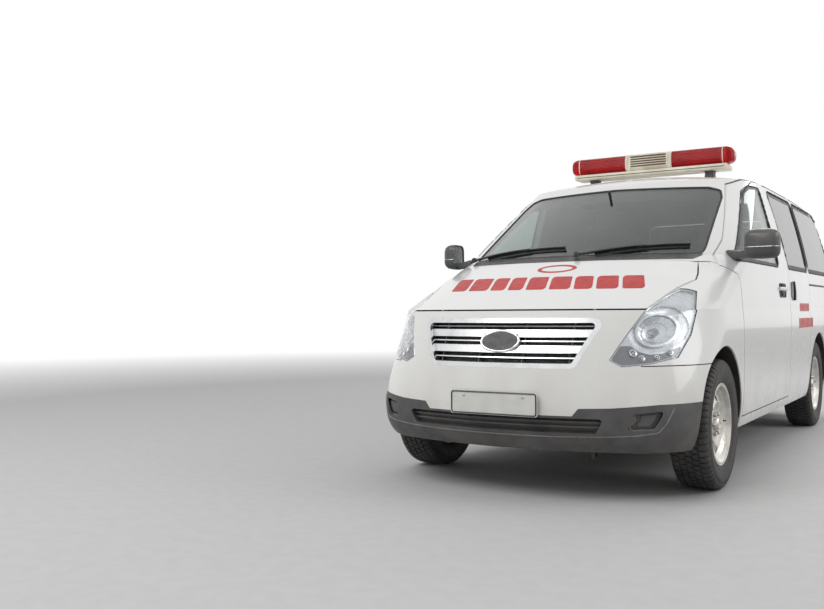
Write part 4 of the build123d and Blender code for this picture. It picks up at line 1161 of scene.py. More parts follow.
plates = {
    "rows": (("front_plate", "van", -1), ("rear_plate", "tailgate", 1)),
    "margin": 0.006,
    "border": 0.0036,
    "bolts": ((-0.17, 0.036), (0.17, 0.036)),
    "bolt": [(-0.001, 0), (-0.001, 0.0075), (0.0016, 0.0072), (0.0026, 0.005), (0.0026, 0.002),
             (0.0014, 0.0015), (0.0014, 0)],
}


def makePlates():
    for name, body, way in plates["rows"]:
        low, high = (Vector(corner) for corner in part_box(name))
        middle = (low + high) / 2
        middle.y = (low.y if way < 0 else high.y) + way * 0.0006
        halfX, halfZ = (high.x - low.x) / 2 - plates["margin"], (high.z - low.z) / 2 - plates["margin"]
        outline = softLoop(boxLoop(-halfX, -halfZ, halfX, halfZ), 0.01, 0.01)
        path = [middle + Vector((x, 0, z)) for x, z in outline]
        border = bead("plateBorder", path, plates["border"], glossBlack, True, spacing=0.01)
        finishPiece(name + "_border", border, glossBlack, body)
        bolts = [placed(latheX("bolt", plates["bolt"], 20), middle + Vector((x, 0, z)), (0, way, 0))
                 for x, z in plates["bolts"]]
        finishPiece(name + "_bolts", joined("bolts", bolts), nutSteel, body, "bright_trim")


marks = {
    "hoodRow": (-0.585, 0.585),
    "hoodHeights": (1.09, 1.166),
    "hoodWidths": (0.13, 0.15, 0.105, 0.1, 0.125, 0.125, 0.105, 0.12, 0.115),
    "hoodGap": 0.02,
    "hoodSlant": -0.06,
    "ring": ((0.02, 1.218), (0.24, 0.052), (0.19, 0.034)),
    # Columns: start along the van, foot, height, widths of the blocks
    "sideRows": ((0.62, 0.955, 0.062, (0.05, 0.04, 0.05, 0.045, 0.03, 0.05, 0.04)),
                 (0.56, 0.83, 0.075, (0.035, 0.05, 0.045, 0.05, 0.02, 0.05, 0.045, 0.05, 0.02, 0.05, 0.045))),
    "sideGap": 0.016,
    "film": 0.0009,
}


def makeMarkings():
    film, widths, blocks = marks["film"], marks["hoodWidths"], []

    def stuck(loops, place, spacing):
        blocks.append(patchMesh("mark", loops, place, film, film * 2, spacing))

    x, end = marks["hoodRow"]
    stretch = (end - x - marks["hoodGap"] * (len(widths) - 1)) / sum(widths)
    low, high = marks["hoodHeights"]
    lean = marks["hoodSlant"] / 2
    for width in widths:
        wide = width * stretch
        loop = [(x - lean, low), (x + wide - lean, low), (x + wide + lean, high), (x + lean, high)]
        stuck([softLoop(loop, 0.008, 0.012)], onFront, 0.02)
        x += wide + marks["hoodGap"]
    centre, outer, inner = marks["ring"]
    stuck([ovalLoop(centre, *outer), ovalLoop(centre, *inner)], onFront, 0.02)
    finishPiece("hood_marks", joined("hoodMarks", blocks), markRed, "hood", "red_lens")
    blocks.clear()
    for side in (1, -1):
        for y, z, height, widths in marks["sideRows"]:
            for width in widths:
                stuck([softLoop(boxLoop(y, z, y + width, z + height), 0.006, 0.014)], onSide(side), 0.03)
                y += width + marks["sideGap"]
    finishPiece("side_marks", joined("sideMarks", blocks), markRed, "van", "red_lens")


makeBumper()
makePlates()
makeMarkings()
print("bumper, plates and markings made")

# Windshield: dark edge print, seals, cowl and wipers

screen = {
    "outline": [(0, 1.3), (0.745, 1.3), (0.745, 1.345), (0.7, 1.7), (0.672, 1.76), (0.6, 1.782), (0, 1.796)],
    "printInset": 0.045,
    "printDepth": 0.0085,
    # Above the first height the print grows by printTop over printFade, below the second by printFoot
    "printZones": (1.6, 1.4),
    "printTop": 0.05,
    "printFade": 0.12,
    "printFoot": 0.012,
    "sealRadius": 0.0088,
    "cowl": [(0, 1.268), (0.72, 1.268), (0.752, 1.296), (0.742, 1.306), (0, 1.306)],
    "mirrorStem": [(0, -0.83, 1.772), (0, -0.81, 1.74), (0, -0.8, 1.7)],
    "mirrorBox": ((-0.115, -0.805, 1.64), (0.115, -0.775, 1.705)),
}


def makeScreen():
    rim = softLoop(bothHalves(screen["outline"]), 0.016, 0.02)
    hole = inset(rim, screen["printInset"])
    top, foot = screen["printZones"]
    for spot in hole:
        if spot.y > top:
            spot.y -= screen["printTop"] * min(1, (spot.y - top) / screen["printFade"])
        if spot.y < foot:
            spot.y += screen["printFoot"]

    def glass(x, z):
        return onFront(x, z, screenSkin)

    prints = patchMesh("print", [inset(rim, 0.0015), hole], glass, -screen["printDepth"], 0.001, 0.04)
    finishPiece("screen_print", prints, blackTrim)
    seal = beadOn("seal", inset(rim, 0.001), onFront, screen["sealRadius"], sealRubber, -0.002, sides=10,
                  spacing=0.015)
    finishPiece("screen_seal", seal, sealRubber)
    cowl = softLoop(bothHalves(screen["cowl"]), 0.006, 0.015)
    finishPiece("cowl_strip", patchMesh("cowl", [cowl], onFront, 0.0025, 0.006, 0.02), blackTrim)
    stem = sweepMesh("stem", screen["mirrorStem"], roundSection(0.016, 0.012))
    back = boxMesh("shell", *screen["mirrorBox"], 0.011, 3)
    finishPiece("inner_mirror", joined("innerMirror", [stem, back]), blackTrim)


wiper = {
    # Columns: x and height at the foot, middle and tip
    "rows": [((-0.735, 1.276), (-0.42, 1.328), (-0.06, 1.342)),
             ((0.06, 1.276), (0.37, 1.328), (0.66, 1.342))],
    "footLift": 0.013,
    "spineLift": 0.0165,
    "rubberLift": 0.0065,
    # At the foot, and what is lost towards the end
    "armLift": (0.024, 0.004),
    "armWidth": (0.019, 0.009),
    "armHeight": (0.012, 0.004),
    "armEnd": 0.62,
    "bladeStart": 0.16,
    "clipPlace": 0.6,
    "clipBox": ((-0.026, -0.0085, 0.006), (0.026, 0.0085, 0.024)),
    "foot": [(-0.012, 0), (-0.012, 0.017), (0.012, 0.015), (0.017, 0.011), (0.019, 0)],
    "rubber": [(-0.0022, 0.0075), (0.0022, 0.0075), (0.0012, -0.006), (-0.0012, -0.006)],
    "upright": (0, -0.6, 0.8),
}


# Point on the arc through three points, by share of its length
def arcPoint(first, middle, last, share):
    a, b, c = Vector(first), Vector(middle), Vector(last)
    ab, ac = b - a, c - a
    normal = ab.cross(ac)
    centre = a + (ac.length_squared * normal.cross(ab) + ab.length_squared * ac.cross(normal)) / (
        2 * normal.length_squared)
    start, end = a - centre, c - centre
    return centre + Matrix.Rotation(start.angle(end) * share, 3, normal) @ start


def makeWipers():
    parts, rubbers = [], []
    upright, end, start = wiper["upright"], wiper["armEnd"], wiper["bladeStart"]
    for row in wiper["rows"]:
        feet = [lifted(onFront, x, z, wiper["footLift"]) for x, z in row]

        def over(share, lift):
            spot = arcPoint(*feet, share)
            return lifted(onFront, spot.x, spot.z, lift)

        shares = [step / 24 for step in range(25)]
        lifts, widths, heights = ([wiper[key][0] - wiper[key][1] * share for share in shares]
                                  for key in ("armLift", "armWidth", "armHeight"))
        arm = [over(share * end, lift) for share, lift in zip(shares, lifts)]
        sections = [roundSection(wide, tall, 0.5, 2) for wide, tall in zip(widths, heights)]
        parts.append(sweepMesh("arm", arm, sections, upright))
        shares = [start + (1 - start) * step / 48 for step in range(49)]
        spine, edge = ([over(share, wiper[key]) for share in shares] for key in ("spineLift", "rubberLift"))
        parts.append(sweepMesh("spine", spine, roundSection(0.009, 0.006, 0.5, 2), upright))
        rubbers.append(sweepMesh("edge", edge, wiper["rubber"], upright))
        middle = arcPoint(*feet, wiper["clipPlace"])
        surface, normal = onFront(middle.x, middle.z)
        along = (arcPoint(*feet, end) - arcPoint(*feet, 2 * wiper["clipPlace"] - end)).normalized()
        turn = Matrix((along, normal.cross(along), normal)).transposed().to_4x4()
        parts.append(moved(boxMesh("clip", *wiper["clipBox"]), Matrix.Translation(surface) @ turn))
        parts.append(placed(latheX("foot", wiper["foot"], 28), arm[0], onFront(*row[0])[1]))
    finishPiece("wiper_arms", joined("wiperArms", parts), blackTrim, replaced=["wipers"])
    finishPiece("wiper_rubbers", joined("wiperRubbers", rubbers), sealRubber)


makeScreen()
makeWipers()
print("windshield and wipers made")

# Seals, black frames and panel details

seals = {
    "door": [(-1235, 1262), (-1079, 1340), (-461, 1757), (-333, 1806), (-112, 1810), (-114, 1262)],
    "slide": [(252, 1262), (136, 1822), (1046, 1822), (1046, 1262)],
    "quarter": [(1106, 1262), (1106, 1822), (2080, 1812), (2250, 1740), (2290, 1262)],
    "tail": [(0, 1752), (600, 1745), (642, 1715), (706, 1290), (0, 1290), (-706, 1290), (-642, 1715),
             (-600, 1745)],
    "rounds": {"door": 0.018, "slide": 0.04, "quarter": 0.04, "tail": 0.03},
    "radius": 0.0062,
    "width": 0.03,
    "doorWidth": 0.021,
    "frameLift": 0.0012,
}


def millimetres(points):
    return [Vector((a / 1000, b / 1000)) for a, b in points]


def makeSeals():
    door, slide, quarter, tail = (softLoop(millimetres(seals[key]), corner, 0.02)
                                  for key, corner in seals["rounds"].items())

    def sealOn(name, loop, place):
        return beadOn(name, loop, place, seals["radius"], sealRubber, sides=10, spacing=0.015)

    def frameOn(loop, wide, place):
        band = [inset(loop, 0.001), inset(loop, wide)]
        return patchMesh("frame", band, place, seals["frameLift"], thick=0.001, spacing=0.04)

    for side, word in bothSides:
        rim = sealOn("doorSeal", door, onSide(side, wholeSkin))
        finishPiece("door_seal_" + word, rim, sealRubber, "front_door_" + word)
    glass = skinOf("side_windows")
    places = [(loop, side) for side in (1, -1) for loop in (slide, quarter)]
    pieces = [sealOn("sideSeal", loop, onSide(side, wholeSkin)) for loop, side in places]
    frames = [frameOn(loop, seals["width"], onSide(side, glass)) for loop, side in places]
    finishPiece("side_seals", joined("sideSeals", pieces), sealRubber)
    finishPiece("side_frames", joined("sideFrames", frames), blackTrim)
    for side, word in bothSides:
        frame = frameOn(door, seals["doorWidth"], onSide(side, skinOf("front_window_" + word)))
        finishPiece("door_frame_" + word, frame, blackTrim, "front_door_" + word)
    gate = skinOf("tailgate", "tailgate_window")
    rim = sealOn("tailSeal", tail, lambda x, z: onRear(x, z, gate))
    finishPiece("tail_seal", rim, sealRubber, "tailgate")


makeSeals()
print("seals made")

# Light bar: clear red domes over drums and reflectors, cream speaker with slots

lightBar = {
    "y": 0.08,
    "z": 2.092,
    "lens": (0.165, 0.62),
    "lensSize": (0.154, 0.128),
    "domeLength": 0.06,
    "ribs": (22, 0.018, 0.0172),
    "speaker": 0.165,
    "speakerSize": (0.148, 0.128),
    "speakerFrame": (0.017, -0.043, 0.05),
    "rail": (0.58, 1.986, 2.028),
    "railHalf": 0.088,
    "feet": 0.44,
    "drums": (0.28, 0.47),
    "slots": 5,
    # Turned profiles: along the axis, radius. The first two are shares of the lens height and metres.
    "drum": [(-0.4, 0), (-0.4, 0.03), (-0.28, 0.03), (-0.26, 0.026), (-0.26, 0)],
    "bulb": [(-0.26, 0), (-0.26, 0.011), (0.12, 0.011), (0.2, 0.006), (0.215, 0)],
    "bowl": [(0.004, 0.012), (0.006, 0.02), (0.016, 0.033), (0.034, 0.041), (0.034, 0.043), (0.015, 0.0355),
             (0.003, 0.022), (0.001, 0.012)],
    "bolt": [(-0.004, 0), (-0.004, 0.009), (0.004, 0.009), (0.006, 0.006), (0.006, 0)],
    # Columns: distance from the edge, growth over the lens section
    "collar": [(-0.004, -0.002), (-0.004, 0.0055), (0.009, 0.0055), (0.011, 0.0035), (0.011, -0.002)],
    "ring": [(-0.003, 0.0), (-0.003, 0.0035), (0.003, 0.0035), (0.003, 0.0)],
    # Columns: share of the height, half width, half depth
    "foot": [(0.0, 0.045, 0.055), (0.12, 0.045, 0.055), (0.3, 0.033, 0.043), (0.75, 0.03, 0.04),
             (1.0, 0.034, 0.046)],
}


# Rounded section across the bar at x, grown by the amount
def barRing(x, size, grow=0.0, power=3.2, scale=1.0):
    width, height = size
    return [Vector((x, y * scale, z * scale))
            for y, z in roundRing((width + grow) / 2, (height + grow) / 2, power, 56)]


def barShell(name, start, end, size, domed=True, power=3.2):
    length, way, dome = abs(end - start), math.copysign(1, end - start), lightBar["domeLength"]
    if domed:
        stations = [0, 0.002, 0.006] + [0.02 + (length - dome - 0.02) * i / 12 for i in range(13)]
        stations += [length - dome + dome * math.sin(math.pi / 2 * i / 12) for i in range(1, 13)]
    else:
        stations = [0, 0.003] + [length * i / 12 for i in range(1, 12)] + [length - 0.003, length]
    rings = []
    for reach in stations:
        scale = 1.0
        if domed and reach > length - dome:
            share = (reach - length + dome) / dome
            scale = math.sqrt(max(0.0, 1 - (share * 0.985) ** 2)) ** 0.62
        rings.append(barRing(start + way * reach, size, 0.0, power, scale))
    return ringsMesh(name, rings)


upwards = Matrix.Rotation(-math.pi / 2, 4, "Y")


def makeDomes(parts):
    bar = lightBar
    near, far = bar["lens"]
    width, height = size = bar["lensSize"]
    ribCount, ribStart, ribStep = bar["ribs"]
    for side in (1, -1):
        parts["domes"].append(barShell("dome", side * near, side * far, size))
        for i in range(ribCount):
            x = side * (near + ribStart + i * ribStep)
            rings = [barRing(x + way * 0.0022, size, -0.0072) for way in (-1, 1)]
            rings += [barRing(x + way * 0.0008, size, -0.0125) for way in (1, -1)]
            parts["ribs"].append(ringsMesh("rib", rings, loop=True))
        ends = sorted((side * (near + 0.006), side * (far - 0.065)))
        parts["trays"].append(boxMesh("tray", (ends[0], -width * 0.36, -height * 0.43),
                                      (ends[1], width * 0.36, -height * 0.4 + 0.004), 0.003))
        for x in bar["drums"]:
            for key, segments in (("drum", 32), ("bulb", 20)):
                profile = [(along * height, radius) for along, radius in bar[key]]
                parts["drums"].append(moved(latheX(key, profile, segments),
                                            Matrix.Translation((side * x, 0, 0)) @ upwards))
            bowl = latheX("bowl", [(along - 0.02, radius) for along, radius in bar["bowl"]], 36)
            parts["bowls"].append(placed(bowl, (side * x, 0.012, 0), (0.35 * side, -1, 0.05)))
        for key, place in (("collar", bar["speaker"]), ("ring", far - 0.075)):
            rings = [barRing(side * (place + reach), size, grow) for reach, grow in bar[key]]
            parts["collars"].append(ringsMesh(key, rings, loop=True))


# Speaker between the domes, with slots front and rear
def makeSpeaker(parts):
    half = lightBar["speaker"]
    face = lightBar["speakerSize"][0] / 2
    parts["speaker"].append(barShell("speaker", -half, half, lightBar["speakerSize"], False, 5.0))
    for i in range(lightBar["slots"]):
        z = 0.04 - 0.0175 * i
        for way in (-1, 1):
            y = way * face
            parts["slots"].append(boxMesh("slot", (-half + 0.03, y - 0.0012, z - 0.0052),
                                          (half - 0.03, y + 0.0012, z + 0.0052), 0.0008))
            parts["frames"].append(boxMesh("lip", (-half + 0.024, y - 0.001, z + 0.0058),
                                           (half - 0.024, y + 0.0042, z + 0.0084), 0.0012))
    side, low, high = lightBar["speakerFrame"]
    for way in (-1, 1):
        outline = softLoop(boxLoop(-half + side, low, half - side, high), 0.012, 0.01)
        path = [(x, way * (face + 0.0006), z) for x, z in outline]
        parts["frames"].append(bead("frame", path, 0.0024, creamPlastic, True, spacing=0.01))


def makeRailAndFeet():
    bar = lightBar
    reach, low, high = bar["rail"]
    middle, half = bar["y"], bar["railHalf"]
    rail = boxMesh("rail", (-reach, middle - half, low), (reach, middle + half, high), 0.012, 4)
    finishPiece("bar_rail", rail, creamPlastic, "van", "cream_plastic")
    grooves = []
    for way in (-1, 1):
        y = middle + way * (half + 0.0005)
        grooves.append(boxMesh("groove", (-reach + 0.02, y - 0.0012, low + 0.017),
                               (reach - 0.02, y + 0.0012, low + 0.022), 0.0008))
    finishPiece("bar_grooves", joined("grooves", grooves), slotBrown, "van", "cream_plastic")
    feet, bolts = [], []
    outline = softLoop(boxLoop(-1, -1, 1, 1), 0.24, 0.12)
    for side in (1, -1):
        x = side * bar["feet"]
        rings = []
        for share, halfX, halfY in bar["foot"]:
            ring = []
            for u, v in outline:
                spot = Vector((x + u * halfX, middle + v * halfY))
                bottom = onTop(*spot)[0].z + 0.0005
                ring.append(Vector((spot.x, spot.y, bottom + (low - bottom) * share)))
            rings.append(ring)
        feet.append(ringsMesh("foot", rings))
        for y in (-0.045, 0.045):
            spot = onTop(x + side * 0.037, middle + y)[0]
            bolts.append(moved(latheX("bolt", bar["bolt"], 6), Matrix.Translation(spot) @ upwards))
    finishPiece("bar_feet", joined("feet", feet), darkTrim, bevel=0.002)
    finishPiece("bar_bolts", joined("bolts", bolts), nutSteel, "van", "bright_trim", bevel=0.0006)


def makeLightBar():
    rows = [("domes", redLens, "red_lens", ["light_bar_lenses"], 0.0), ("ribs", redTube, "red_lens", [], 0.0),
            ("drums", bulbGlass, "bright_trim", [], 0.0), ("bowls", reflector, "bright_trim", [], 0.0),
            ("trays", creamPlastic, "cream_plastic", [], 0.001),
            ("speaker", creamPlastic, "cream_plastic", ["light_bar_base"], 0.003),
            ("slots", slotBrown, "cream_plastic", [], 0.0),
            ("frames", creamPlastic, "cream_plastic", [], 0.0),
            ("collars", creamPlastic, "cream_plastic", [], 0.0)]
    parts = {row[0]: [] for row in rows}
    makeDomes(parts)
    makeSpeaker(parts)
    middle = Matrix.Translation((0, lightBar["y"], lightBar["z"]))
    for title, finish, slotName, replaced, bevel in rows:
        finishPiece("bar_" + title, moved(joined(title, parts[title]), middle), finish, "van", slotName,
                    replaced, bevel=bevel)
    makeRailAndFeet()


makeLightBar()
print("light bar made")

# Mirrors: glossy upper shell, light seam, black lower shell, glass and foot

mirrorSet = {
    # Side: place of the shell, turn in degrees about the vertical, end of the arm in the shell
    "rows": {"left": ((1.072, -1.301, 1.348), 0.0, (-0.055, 0.0, -0.05)),
             "right": ((-1.0, -1.196, 1.348), -84.0, (0.0, -0.02, -0.055))},
    # Columns: place along the depth, half width, half height
    "shell": [(-0.0405, 0.067, 0.059), (-0.033, 0.078, 0.069), (-0.017, 0.0915, 0.0795),
              (-0.003, 0.0955, 0.083), (0.011, 0.0975, 0.0855), (0.03, 0.097, 0.085),
              (0.039, 0.0955, 0.0835)],
    "opening": [(0.0385, 0.088, 0.076), (0.029, 0.086, 0.074)],
    "glass": [(0.0295, 0.085, 0.072), (0.0335, 0.085, 0.072)],
    "seamHeight": -0.018,
    "foot": [(-1238, 1256), (-1085, 1335), (-1068, 1345), (-1060, 1256)],
    "armFoot": (-1.15, 1.296),
    "armSections": [(0.105, 0.062), (0.085, 0.05), (0.07, 0.044), (0.066, 0.042), (0.066, 0.042)],
}


# Part of a closed mesh above or below the seam, with its cut closed
def cutAtSeam(shell, keepUpper):
    work = bmesh.new()
    work.from_mesh(shell)
    made = bmesh.ops.bisect_plane(work, geom=work.verts[:] + work.edges[:] + work.faces[:],
                                  plane_co=(0, 0, mirrorSet["seamHeight"]), plane_no=(0.05, 0, 1),
                                  clear_inner=keepUpper, clear_outer=not keepUpper)
    rim = [edge for edge in made["geom_cut"] if isinstance(edge, bmesh.types.BMEdge)]
    bmesh.ops.triangle_fill(work, edges=rim, use_beauty=True)
    bmesh.ops.recalc_face_normals(work, faces=work.faces)
    half = bpy.data.meshes.new("half")
    work.to_mesh(half)
    work.free()
    return half


def makeMirrors():
    shellRings, openingRings, glassRings = (
        [[Vector((x, y, z)) for x, z in roundRing(halfX, halfZ)] for y, halfX, halfZ in mirrorSet[key]]
        for key in ("shell", "opening", "glass"))
    shell = ringsMesh("shell", shellRings + openingRings)
    for side, word in bothSides:
        centre, turn, armEnd = mirrorSet["rows"][word]
        place = Matrix.Translation(centre) @ Matrix.Rotation(math.radians(turn), 4, "Z")
        body = "front_door_" + word
        finishPiece("mirror_shell_" + word, moved(cutAtSeam(shell, True), place), mirrorShell, body, "trim",
                    ["mirror_" + word])
        finishPiece("mirror_lower_" + word, moved(cutAtSeam(shell, False), place), darkTrim, body)
        z = mirrorSet["seamHeight"] - 0.0007
        edge = [(halfX + 0.0006, y, z) for y, halfX, halfZ in mirrorSet["shell"]]
        path = [place @ Vector(spot) for spot in [(-x, y, z) for x, y, z in reversed(edge)] + edge]
        seam = bead("seam", path, 0.0016, satinSilver, spacing=0.006)
        finishPiece("mirror_seam_" + word, seam, satinSilver, body, "bright_trim")
        finishPiece("mirror_glass_" + word, moved(ringsMesh("glass", glassRings), place), reflector, body,
                    "bright_trim", bevel=0.0008)
        # Foot in the front corner of the window and the arm to the shell
        door = onSide(side)
        footLoop = softLoop(millimetres(mirrorSet["foot"]), 0.012, 0.01)
        foot = patchMesh("foot", [footLoop], door, 0.0035, 0.007, 0.02)
        end = place @ Vector(armEnd)
        start = door(*mirrorSet["armFoot"])[0] - Vector((side * 0.004, 0, 0))
        middle = start.lerp(end, 0.5) + Vector((0, 0, -0.006))
        path = [start, start.lerp(middle, 0.5), middle, middle.lerp(end, 0.5), end]
        arm = sweepMesh("arm", path, [roundSection(*size, 0.5, 3) for size in mirrorSet["armSections"]])
        finishPiece("mirror_arm_" + word, joined("armParts", [foot, arm]), darkTrim, body, bevel=0.0008)


# Handles: door grips, sliding-door grips, keyholes and guide strips

handles = {
    # Rectangles along the van and up
    "pocket": (-0.15, 1.055, 0.095, 1.15),
    "slidePocket": (0.285, 1.045, 0.42, 1.165),
    "guide": (1.094, 1.1575, 2.228, 1.1705),
    "pocketDepth": 0.02,
    "guideDepth": 0.0065,
    "bezelRadius": 0.003,
    # Heights between which the panel runs straight past each of them
    "pocketSpan": (1.03, 1.175),
    "slideSpan": (1.02, 1.19),
    "guideSpan": (1.14, 1.188),
    # Front grip: ends along the van, height. Sliding grip: place along the van, ends in height
    "frontPull": (-0.158, 0.102, 1.112),
    "slidePull": (0.388, 1.036, 1.174),
    "lockPlace": (0.125, 1.112),
    "lock": [(-0.003, 0), (-0.003, 0.0105), (0.0015, 0.0102), (0.003, 0.009), (0.0032, 0.0035),
             (0.001, 0.003), (0.001, 0)],
}


# Hollow behind a grip with a bead around it
def pocketCup(place, pocket):
    loop = softLoop(boxLoop(*pocket), 0.03, 0.012)
    cup = patchMesh("cup", [inset(loop, 0.0015)], place, -handles["pocketDepth"], 0.002, 0.02)
    return joined("cups", [cup, beadOn("bezel", loop, place, handles["bezelRadius"], darkTrim, spacing=0.01)])


# Grip across a front door's pocket, on two feet
def frontPull(place):
    start, end, z = handles["frontPull"]
    path, sections = [], []
    for step in range(17):
        bow = math.sin(math.pi * step / 16)
        path.append(lifted(place, start + (end - start) * step / 16, z, 0.008 + 0.004 * bow))
        taper = 0.8 + 0.2 * bow
        sections.append(roundSection(0.016 * taper, 0.027 * taper, 0.5, 3))
    parts = [sweepMesh("pull", path, sections)]
    for y in (start + 0.018, end - 0.014):
        stand = [lifted(place, y, z, lift) for lift in (-0.016, 0.007)]
        parts.append(sweepMesh("foot", stand, roundSection(0.018, 0.018, 0.5, 2)))
    return joined("pulls", parts)


# Upright grip of a sliding door
def slidePull(place, side):
    y, low, high = handles["slidePull"]
    path = [lifted(place, y, low + (high - low) * step / 12, 0.007 + 0.004 * math.sin(math.pi * step / 12))
            for step in range(13)]
    return sweepMesh("pull", path, roundSection(0.026, 0.016, 0.5, 3), (side, 0, 0))


def makeHandles():
    for side, word in bothSides:
        body = "front_door_" + word
        door, slide = onSide(side, skinOf(body)), onSide(side, skinOf("sliding_doors"))
        doorLine = spanned(door, *handles["pocketSpan"])
        slideLine = spanned(slide, *handles["slideSpan"])
        guideLine = spanned(onSide(side), *handles["guideSpan"])
        finishPiece("handle_cup_" + word, pocketCup(doorLine, handles["pocket"]), blackTrim, body)
        finishPiece("door_pull_" + word, frontPull(doorLine), satinSilver, body, "bright_trim")
        lock = placed(latheX("lock", handles["lock"], 28), *door(*handles["lockPlace"]))
        finishPiece("door_lock_" + word, lock, nutSteel, body, "bright_trim")
        finishPiece("slide_cup_" + word, pocketCup(slideLine, handles["slidePocket"]), blackTrim)
        finishPiece("slide_pull_" + word, slidePull(slideLine, side), blackTrim)
        groove = softLoop(boxLoop(*handles["guide"]), 0.006, 0.02)
        strip = patchMesh("strip", [groove], guideLine, -handles["guideDepth"], 0.003, 0.05)
        finishPiece("guide_strip_" + word, strip, blackTrim)


makeMirrors()
makeHandles()
print("mirrors and handles made")

# Interior: padded seats, bench, steering wheel and dashboard

cabin = {
    "seatX": 0.4,
    "padPressure": 4.0,
    "padCap": 0.012,
    "padVoxel": 0.013,
    "padFrames": 20,
    "fill": 0.75,
    "piping": 0.0035,
    "pipingGrowth": 0.009,
    "wheelCentre": (-0.78, 1.14),
    "wheelAxis": (0, 0.85, 0.53),
    "wheelRadius": 0.185,
    "grip": 0.0148,
    "hub": [(-0.012, 0), (-0.012, 0.056), (0.0, 0.061), (0.008, 0.058), (0.0105, 0.045), (0.0115, 0.02),
            (0.0118, 0)],
    # Columns: distance from the hub, width of the spoke there
    "spoke": [(0.03, 0.05), (0.06, 0.04), (0.11, 0.028), (0.15, 0.03), (0.178, 0.034)],
    "spokeTurns": (-90, 0, 180),
    # Columns: distance down the column, width, height
    "shroud": [(0.02, 0.055, 0.055), (0.1, 0.066, 0.07), (0.19, 0.07, 0.08), (0.27, 0.06, 0.07)],
    # Hood over the dials. Columns: y, height at the ends, rise in the middle
    "pod": [(-1.2, 1.235, 0), (-1.17, 1.25, 0.028), (-1.06, 1.25, 0.03), (-1.02, 1.236, 0.026),
            (-1.02, 1.228, 0), (-1.1, 1.225, 0)],
    "podEnds": (-0.62, -0.18),
    "vents": (-0.66, -0.13, 0.13, 0.66),
    "knobs": (-0.06, 0, 0.06),
    "knob": [(0, 0), (0, 0.016), (0.012, 0.014), (0.014, 0.01), (0.014, 0)],
}


# Front seat. Rows of a pad: centre of the section, half width and half depth
seatPads = [
    ("seat_cushion", [((0, -0.365, 0.757), 0.222, 0.242), ((0, -0.37, 0.78), 0.232, 0.252),
                      ((0, -0.375, 0.82), 0.234, 0.254), ((0, -0.375, 0.85), 0.23, 0.25),
                      ((0, -0.375, 0.866), 0.215, 0.235)]),
    ("seat_back", [((0, -0.1, 0.885), 0.205, 0.04), ((0, -0.092, 0.905), 0.22, 0.056),
                   ((0, -0.06, 1.1), 0.224, 0.053), ((0, -0.025, 1.24), 0.22, 0.048),
                   ((0, -0.005, 1.33), 0.2, 0.042), ((0, 0.006, 1.38), 0.18, 0.033)]),
    ("head_rest", [((0, 0.006, 1.435), 0.095, 0.02), ((0, 0.009, 1.45), 0.108, 0.03),
                   ((0, 0.018, 1.51), 0.113, 0.034), ((0, 0.026, 1.56), 0.11, 0.032),
                   ((0, 0.029, 1.572), 0.1, 0.022)]),
]
benchPad = [((0.64, 0.695, 0.862), 0.2, 0.345), ((0.64, 0.695, 0.88), 0.208, 0.353),
            ((0.64, 0.695, 0.925), 0.208, 0.353), ((0.64, 0.695, 0.939), 0.196, 0.34)]


# Swells a closed form as foam does in its cover
def puffed(name, mesh):
    scene = bpy.context.scene
    work = bpy.data.objects.new(name + "Work", mesh)
    scene.collection.objects.link(work)
    even = work.modifiers.new("even", "REMESH")
    even.mode = "VOXEL"
    even.voxel_size = cabin["padVoxel"]
    even.use_smooth_shade = True
    bpy.context.view_layer.update()
    start = bpy.data.meshes.new_from_object(work.evaluated_get(bpy.context.evaluated_depsgraph_get()))
    work.modifiers.clear()
    work.data = start
    rest = [vertex.co.copy() for vertex in start.vertices]
    cloth = work.modifiers.new("padding", "CLOTH")
    cloth.settings.use_pressure = True
    cloth.settings.uniform_pressure_force = cabin["padPressure"]
    cloth.settings.effector_weights.gravity = 0
    for frameNumber in range(1, cabin["padFrames"] + 1):
        scene.frame_set(frameNumber)
    bpy.context.view_layer.update()
    swollen = bpy.data.meshes.new_from_object(work.evaluated_get(bpy.context.evaluated_depsgraph_get()))
    for vertex, place in zip(swollen.vertices, rest):
        shift = vertex.co - place
        if shift.length > cabin["padCap"]:
            vertex.co = place + shift.normalized() * cabin["padCap"]
    bpy.data.objects.remove(work)
    scene.frame_set(1)
    return tidyNormals(swollen)


def padRing(row, shift, grow=0.0):
    centre, halfX, halfY = row
    middle = Vector(centre) + Vector(shift)
    return [middle + Vector((x, y, 0)) for x, y in roundRing(halfX + grow, halfY + grow, 5.0, 64)]


def makePad(name, title, rows, finish, slotName, shift=(0, 0, 0)):
    form = ringsMesh(title, [padRing(row, shift) for row in rows])
    pad = finishPiece(name, puffed(title, form), finish, "van", slotName, sharpAngle=80)


